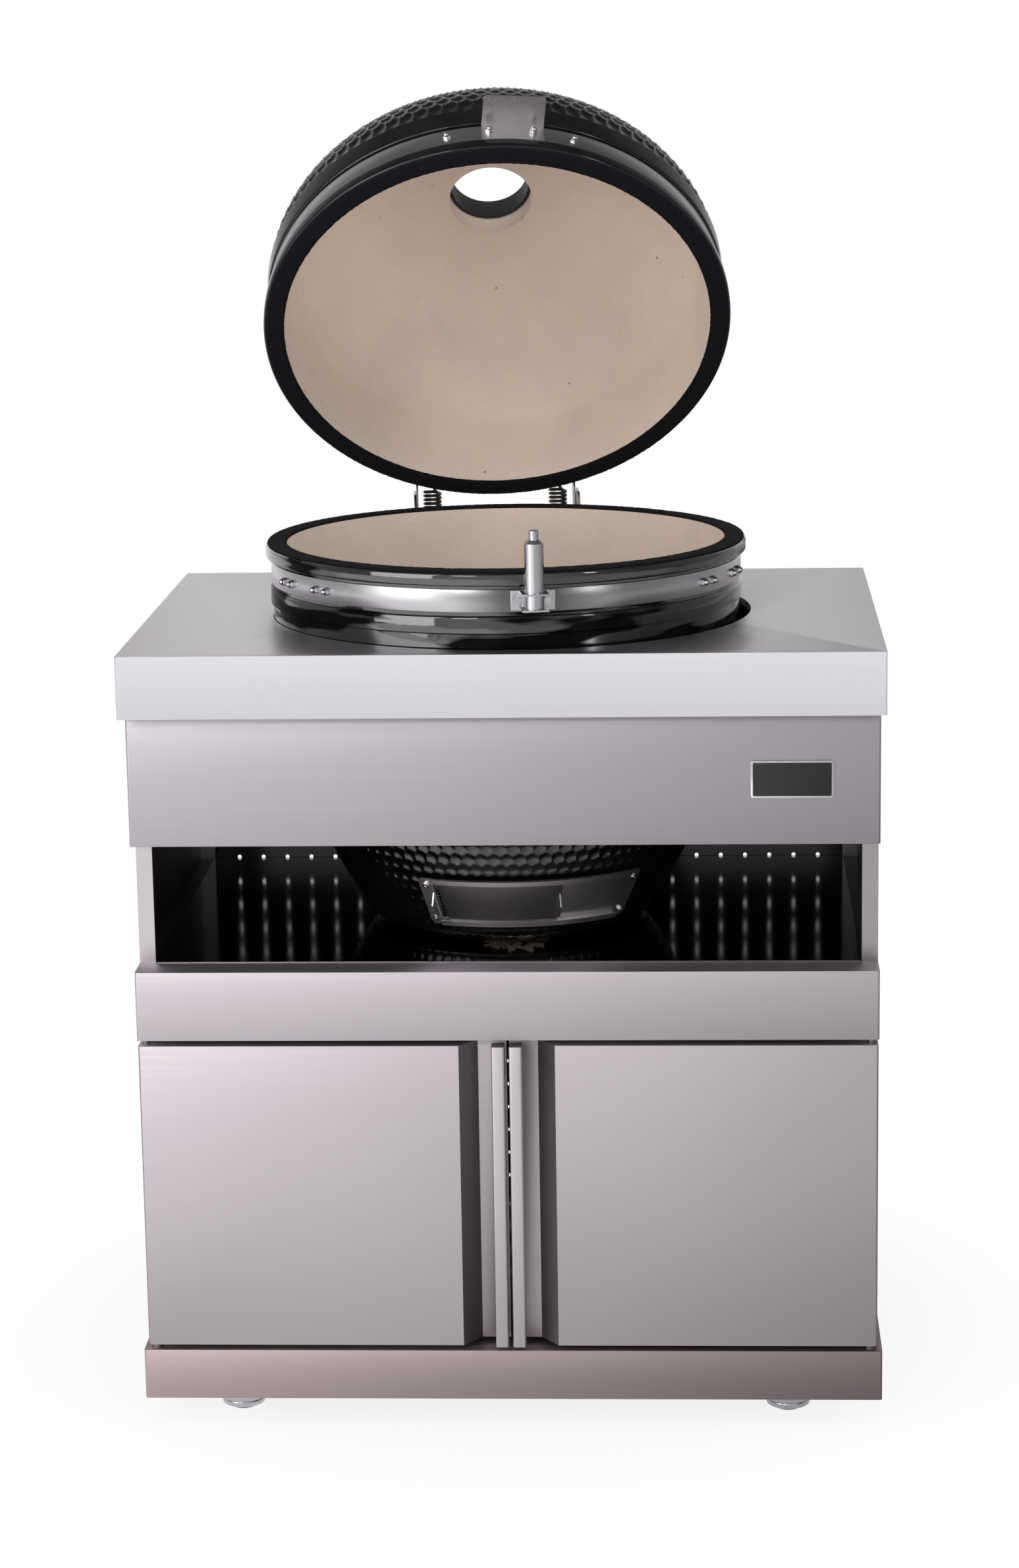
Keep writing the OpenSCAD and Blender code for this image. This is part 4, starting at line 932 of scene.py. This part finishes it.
def outward(line):
    """The direction out of the egg at each point of its outer line."""
    ways = []
    for i in range(len(line)):
        a, b = line[max(i - 1, 0)], line[min(i + 1, len(line) - 1)]
        way = Vector((b[0] - a[0], b[1] - a[1])).normalized()
        ways.append(Vector((-way.y, way.x)))
    sign = 1 if ways[len(ways) // 3].x > 0 else -1
    return [way * sign for way in ways]


def pit_depth(across, down, pitch):
    """Depth of the pits at a place counted in pits round and rows down, staggered row by row."""
    deepest = 0.0
    for row in (math.floor(down), math.floor(down) + 1):
        shift = 0.5 * (row % 2)
        near = round(across - shift) + shift
        aside, below = (across - near) * pitch, (down - row) * PIT_ROW
        share = (aside**2 + below**2) / PIT_R**2
        if share < 1:
            deepest = max(deepest, (1 - share) ** PIT_SHAPE)
    return deepest * PIT_DEPTH


def pitted(outer, pits_from, pits_to, turns):
    """The outer line turned about Z, with pits pressed in between two of its lengths."""
    points = []
    for (r, z), way, far in zip(outer, outward(outer), lengths_of(outer)):
        pitch = 2 * math.pi * r / PITS_ROUND
        row = (far - pits_from) / PIT_ROW - FIRST_ROW
        fade = min(1.0, (far - pits_from) / PIT_FADE, (pits_to - far) / PIT_FADE)
        inside = fade >= 0 and row > -0.5
        for k, (c, s) in enumerate(turns):
            depth = pit_depth(k / PIT_STEPS, row, pitch) * fade if inside else 0.0
            pressed = r - way.x * depth
            points.append((pressed * c, pressed * s, z - way.y * depth))
    return points


def egg_shell(name, outer, inner, pits, finishes, where, window=None):
    """A shell turned about Z with a pitted outside. A window has two heights and two angles."""
    sides = PITS_ROUND * PIT_STEPS
    turns = corners(sides)
    points = pitted(outer, *pits, turns)
    points += [(r * c, r * s, z) for r, z in inner for c, s in turns]
    angles = [2 * math.pi * (k + 0.5) / sides + math.pi / 2 for k in range(sides)]
    angles = [(a + math.pi) % (2 * math.pi) - math.pi for a in angles]
    low, high, left, right = window or (0, 0, 0, 0)
    outline = outer + inner
    faces, marks = [], []
    for i, (_, z) in enumerate(outline):
        j = (i + 1) % len(outline)
        level = low < (z + outline[j][1]) / 2 < high
        for k, a in enumerate(angles):
            if level and left < a < right:
                continue
            m = (k + 1) % sides
            faces.append((i * sides + k, i * sides + m, j * sides + m, j * sides + k))
            marks.append(int(i >= len(outer) - 1))
    piece = piece_of(name, points, faces, finishes, marks=marks)
    with edited(piece) as bm:
        bmesh.ops.remove_doubles(bm, verts=bm.verts, dist=TOUCHING)
        rims = [edge for edge in bm.edges if edge.is_boundary]
        if rims:
            for face in bmesh.ops.bridge_loops(bm, edges=rims)["faces"]:
                face.material_index = 1
        bmesh.ops.recalc_face_normals(bm, faces=bm.faces)
    piece.data.transform(where)
    sharp_edges(piece, 40)
    return piece


def add_bowl():
    collar_z = RIM_Z - SEAT_H - COLLAR_H
    outer = rim_outline(RIM_Z, -1) + [(COLLAR_R, collar_z + COLLAR_ROUND), (bowl_r(collar_z), collar_z)]
    fall = BOWL_PITS_TOP - collar_z
    heights = [collar_z + fall * (i + 1) / PLAIN_ROWS for i in range(PLAIN_ROWS)]
    window_z = (DRAFT_Z + DRAFT_MARGIN, DRAFT_TOP - DRAFT_MARGIN)
    rows = {*window_z, BOWL_Z + FOOT_TAPER}
    z = BOWL_PITS_TOP - PIT_STEP
    while z > BOWL_Z + FOOT_TAPER:
        rows.add(z)
        z -= PIT_STEP
    heights += sorted({round(z, 6) for z in rows}, reverse=True)
    outer += [(bowl_r(z), z) for z in heights]
    outer += [(FOOT_R, BOWL_Z), (FOOT_R - WALL, BOWL_Z)]

    floor_z = BOWL_Z + WALL + FOOT_TAPER
    rows = {floor_z + (RIM_Z - floor_z) * i / INNER_ROWS for i in range(INNER_ROWS + 1)}
    inner = [(FLOOR_HOLE_R, BOWL_Z), (FLOOR_HOLE_R, floor_z), (FOOT_R - WALL - FLOOR_SLOPE, floor_z)]
    inner += [(bowl_inner(z), z) for z in sorted({round(z, 6) for z in rows.union(window_z)})]

    lengths = lengths_of(outer)
    first = next(i for i, (r, z) in enumerate(outer) if z <= BOWL_PITS_TOP and r < BELLY_R)
    shell = egg_shell(
        "bowl_shell",
        outer,
        inner,
        (lengths[first], lengths[-1] - BOWL_PITS_END),
        [bowl_glaze, bowl_clay],
        KAMADO,
        (*window_z, WINDOW_A0 + WINDOW_EDGE, WINDOW_A1 - WINDOW_EDGE),
    )
    keep(shell, "cabinet", "ceramic_glazed", "bowl")


def add_dome():
    start = rim_outline(FELT_T, 1) + [(COLLAR_R, DOME_COLLAR_H - COLLAR_ROUND), (BELLY_R, DOME_COLLAR_H)]
    fine = along(dome_curve(0, DOME_ROWS), PIT_STEP)
    even = [fine[0]]
    for point in fine[1:]:
        if (point - even[-1]).length > LEAST_STEP:
            even.append(point)
    even[-1] = fine[-1]
    outer = start + [tuple(point) for point in even]
    inner = dome_curve(WALL, DOME_INNER_ROWS)[::-1] + [(RIM_R - WALL, FELT_T)]
    pits = (lengths_of(start)[-1] + DOME_PITS_BEGIN, lengths_of(outer)[-1] - DOME_PITS_END)
    shell = egg_shell("dome_shell", outer, inner, pits, [black_glaze, clay], LID)
    keep(shell, "lid", "ceramic_glazed", "dome")


def felt_ring(name, z0, where, seed):
    """Felt strip whose edges and face are a little uneven."""
    rng = random.Random(seed)
    half = [(0.0, 0.0), (0.2 * MM, FELT_T * 0.6), (1.2 * MM, FELT_T * 0.93), (5 * MM, FELT_T)]
    section = [(FELT_R - FELT_W + inset, z) for inset, z in half]
    section += [(FELT_R - inset, z) for inset, z in reversed(half)]
    n = len(section)
    points = []
    for c, s in corners(FELT_SIDES):
        for k, (r, z) in enumerate(section):
            fuzz = rng.uniform(-FELT_FUZZ, FELT_FUZZ) * MM if 0 < k < n - 1 else 0
            r += rng.uniform(*FELT_FRAY) * MM * (1 if k >= n // 2 else -1)
            points.append((r * c, r * s, z0 + max(0, min(FELT_T, z + min(0, fuzz)))))
    piece = piece_of(name, points, ring_faces(FELT_SIDES, n), [felt], where)
    tidy_mesh(piece)
    return piece


def add_felts():
    keep(felt_ring("bowl_felt_strip", RIM_Z, KAMADO, 3), "cabinet", "felt_black", "bowl_felt")
    flip = LID @ Matrix.Scale(-1, 4, (0, 0, 1))
    keep(felt_ring("lid_felt_strip", -FELT_T, flip, 4), "lid", "felt_black", "lid_felt")


def band_outline(z):
    """Flat band with rounded edges."""
    half = [(SEAT_R, 0.4 * MM), (SEAT_R + 0.4 * MM, 0)]
    half += [(BAND_R - 0.6 * MM, 0), (BAND_R - 0.2 * MM, 0.2 * MM), (BAND_R, 0.6 * MM)]
    return [(r, z + h) for r, h in half] + [(r, z + BAND_H - h) for r, h in reversed(half)]


def add_bands():
    low = lathe("bowl_band_ring", band_outline(BAND_Z), steel_bowl_band, KAMADO, BAND_SIDES)
    keep(low, "cabinet", "band_steel", "bowl_band")
    high = lathe("lid_band_ring", band_outline(LID_BAND_H), steel_band, LID, BAND_SIDES)
    keep(high, "lid", "band_steel", "lid_band")


def acorn_nut(where):
    """Domed cap nut with its washer face, standing out along X."""
    half = math.pi / 6
    turns = [2 * math.pi * k / NUT_SIDES for k in range(NUT_SIDES)]
    hexagon = [math.cos(half) / math.cos((a + half) % (2 * half) - half) for a in turns]
    disc = [1] * NUT_SIDES
    circles = [
        (0.0, NUT_R, disc),
        (0.35 * MM, NUT_R, disc),
        (0.36 * MM, NUT_R * 0.93, hexagon),
        (NUT_BASE - 0.6 * MM, NUT_R * 0.93, hexagon),
        (NUT_BASE, NUT_R * 0.82, hexagon),
        (NUT_BASE, CAP_R, disc),
    ]
    for a in map(math.radians, (0, 15, 30, 45, 60, 75, 86)):
        circles.append((NUT_BASE + CAP_FOOT + CAP_R * math.sin(a) * CAP_FLAT, CAP_R * math.cos(a), disc))
    points = [
        (h, r * side * math.cos(a), r * side * math.sin(a))
        for h, r, shape in circles
        for side, a in zip(shape, turns)
    ]
    piece = piece_of("nut", points, stacked_faces(len(circles), NUT_SIDES), [bolt_chrome], where)
    tidy_mesh(piece)
    sharp_edges(piece, 28)
    return piece


def add_nuts():
    nuts = [acorn_nut(KAMADO @ at_angle(a, BAND_R, BAND_Z + BAND_H / 2)) for a in BOWL_NUTS]
    keep(joined("bowl_band_cap_nuts", nuts), "cabinet", "band_steel", "bowl_band_nuts")
    nuts = []
    for a in LID_NUTS:
        r = BAND_R + (PLATE_T if abs(a - CATCH_TURN) < CATCH_HALF else 0)
        nuts.append(acorn_nut(LID @ at_angle(a, r, LID_BAND_H + BAND_H / 2)))
    keep(joined("lid_band_cap_nuts", nuts), "lid", "band_steel", "lid_band_nuts")


# Hinge springs


def hook(z, way):
    """Most of a turn round a rod, towards the back or the front."""
    r = ROD_R + WIRE_R + HOOK_GAP
    angles = [way * math.radians(HOOK_START + HOOK_TURN * i / HOOK_STEPS) for i in range(HOOK_STEPS + 1)]
    return [Vector((0, r * math.sin(a), z - r * math.cos(a))) for a in angles]


def spring_path():
    """Hook round the lower rod, coils, and hook round the upper rod."""
    low, high = SPRING_Z0 + SPRING_END, SPRING_Z1 - SPRING_END
    steps = COILS * COIL_STEPS
    coils = []
    for i in range(steps + 1):
        a = 2 * math.pi * i / COIL_STEPS
        from_end = min(i, steps - i) / NARROW_STEPS
        r = COIL_R * min(1.0, COIL_NARROW + from_end)
        coils.append(Vector((r * math.cos(a), r * math.sin(a), low + (high - low) * i / steps)))
    return hook(SPRING_Z0 - ROD_R, 1) + coils + hook(SPRING_Z1 + ROD_R, -1)


def add_springs():
    for side, name in ((-1, "left"), (1, "right")):
        coil = tube(name + "_spring_coil", spring_path(), WIRE_R, wire_dark)
        coil.data.transform(TURNED @ Matrix.Translation((side * SPRING_X, SPRING_Y, 0)))
        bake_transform(coil)
        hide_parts(name + "_spring")


# Badge place


def rounded_plate(name, width, height, thick, radius, finish):
    """Upright plate with round corners, standing out to the front."""
    outline = []
    for x, z, a in ((1, 1, 0), (-1, 1, 90), (-1, -1, 180), (1, -1, 270)):
        outline += arc(x * (width / 2 - radius), z * (height / 2 - radius), radius, a, a + 90, CORNER_STEPS)
    n = len(outline)
    points = [(x, y, z) for y in (0.0, -thick) for x, z in outline]
    faces = [tuple(range(n)), tuple(reversed(range(n, 2 * n)))]
    faces += [(k, k + n, (k + 1) % n + n, (k + 1) % n) for k in range(n)]
    piece = piece_of(name, points, faces, [finish])
    tidy_mesh(piece)
    rounded_over(piece, min(0.4 * MM, thick / 3))
    return piece


def add_badge():
    border = rounded_plate("badge_border", BADGE_W, BADGE_H, BADGE_T, BADGE_ROUND, bolt_chrome)
    size = (BADGE_W - BADGE_EDGE, BADGE_H - BADGE_EDGE, BADGE_PLATE_T)
    plate = rounded_plate("badge_plate", *size, BADGE_PLATE_ROUND, badge_black)
    border.location = (BADGE_X, FASCIA_Y, BADGE_Z)
    plate.location = (BADGE_X, FASCIA_Y - BADGE_T, BADGE_Z)
    keep(border, "cabinet", "band_steel")
    keep(plate, "cabinet", "catch_plastic")


# Finishes of what stays as it is, softened sheet edges, and the feet


def add_sheets():
    softened("worktop", steel_top, "steel_worktop", 1.2, 3)
    for node, finish in (("fascia", steel_fascia), ("lower_rail", steel_front), ("plinth", steel_plinth)):
        softened(node, finish, "steel_front", 0.5)
    for node in ("left_door_pan", "right_door_pan"):
        softened(node, steel_door, "steel_front", 0.5)
    for node in ("left_handle", "right_handle"):
        softened(node, steel_handle, "steel_front", 0.6, 3)
    dress(steel_side, "left_side_panel", "right_side_panel", "left_door_liner", "right_door_liner")
    dress(steel_inside, "back_panel", "cupboard_floor")
    dress(steel_shelf, "kamado_shelf")
    dress(steel_dark, "worktop_stiffeners", "shelf_braces", "door_pivot_pins", "foot_stems")
    dress(plastic, "door_catches")
    dress(chrome, "foot_discs")
    dress(rubber, "bowl_pads")


def add_feet():
    """Each foot's lower part: a plated cup with a rubber insert that stands on the floor."""
    low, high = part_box("foot_pads")
    cup = [
        (0.0, INSERT_H),
        (INSERT_R, INSERT_H),
        (INSERT_R + 2 * MM, INSERT_H - 2 * MM),
        (FOOT_PAD_R - 3 * MM, INSERT_H - 2 * MM),
        (FOOT_PAD_R - 1 * MM, INSERT_H - 1 * MM),
        (FOOT_PAD_R, INSERT_H + 1 * MM),
        (FOOT_PAD_R, high.z - 1.5 * MM),
        (FOOT_PAD_R - 1 * MM, high.z),
        (0.0, high.z),
    ]
    insert = [
        (0.0, 0.0),
        (INSERT_R - 1.5 * MM, 0.0),
        (INSERT_R - 0.5 * MM, 0.5 * MM),
        (INSERT_R, 2 * MM),
        (INSERT_R, INSERT_H),
        (0.0, INSERT_H),
    ]
    cups, inserts = [], []
    for x in (low.x + FOOT_PAD_R, high.x - FOOT_PAD_R):
        for y in (low.y + FOOT_PAD_R, high.y - FOOT_PAD_R):
            where = Matrix.Translation((x, y, 0))
            cups.append(lathe("cup", cup, chrome, where, FOOT_SIDES))
            inserts.append(lathe("insert", insert, rubber, where, FOOT_SIDES))
    keep(joined("foot_cups", cups), "cabinet", "foot_chrome")
    keep(joined("foot_inserts", inserts), "cabinet", "foot_rubber", "foot_pads")


def add_metalwork():
    softened("hinge_base", steel_plate, "band_steel", 0.4)
    softened("hinge_arm", steel_plate, "band_steel", 0.4)
    softened("buffer_bracket", steel_plate, "band_steel", 0.3)
    dress(steel_plate, "hinge_pin", "buffer_sleeve", "buffer_plunger")
    dress(steel_catch, "lid_catch_plate")
    dress(bolt_chrome, "draft_screws", "buffer_screws")
    dress(steel_draft, "draft_slide", "draft_screen")
    dress(steel_flange, "draft_frame")
    dress(brick, "fire_box", "fire_ring")
    dress(grate_steel, "cooking_grate")
    dress(iron, "charcoal_grate", "vent_base", "vent_cover", "vent_wheel")


def add_gasket():
    """Felt behind the draft frame."""
    piece = copied("draft_gasket", "draft_gasket_felt", felt)
    keep(piece, "cabinet", "felt_black", "draft_gasket")


add_bowl()
add_dome()
add_felts()
add_bands()
add_nuts()
add_springs()
add_badge()
add_sheets()
add_feet()
add_metalwork()
add_gasket()
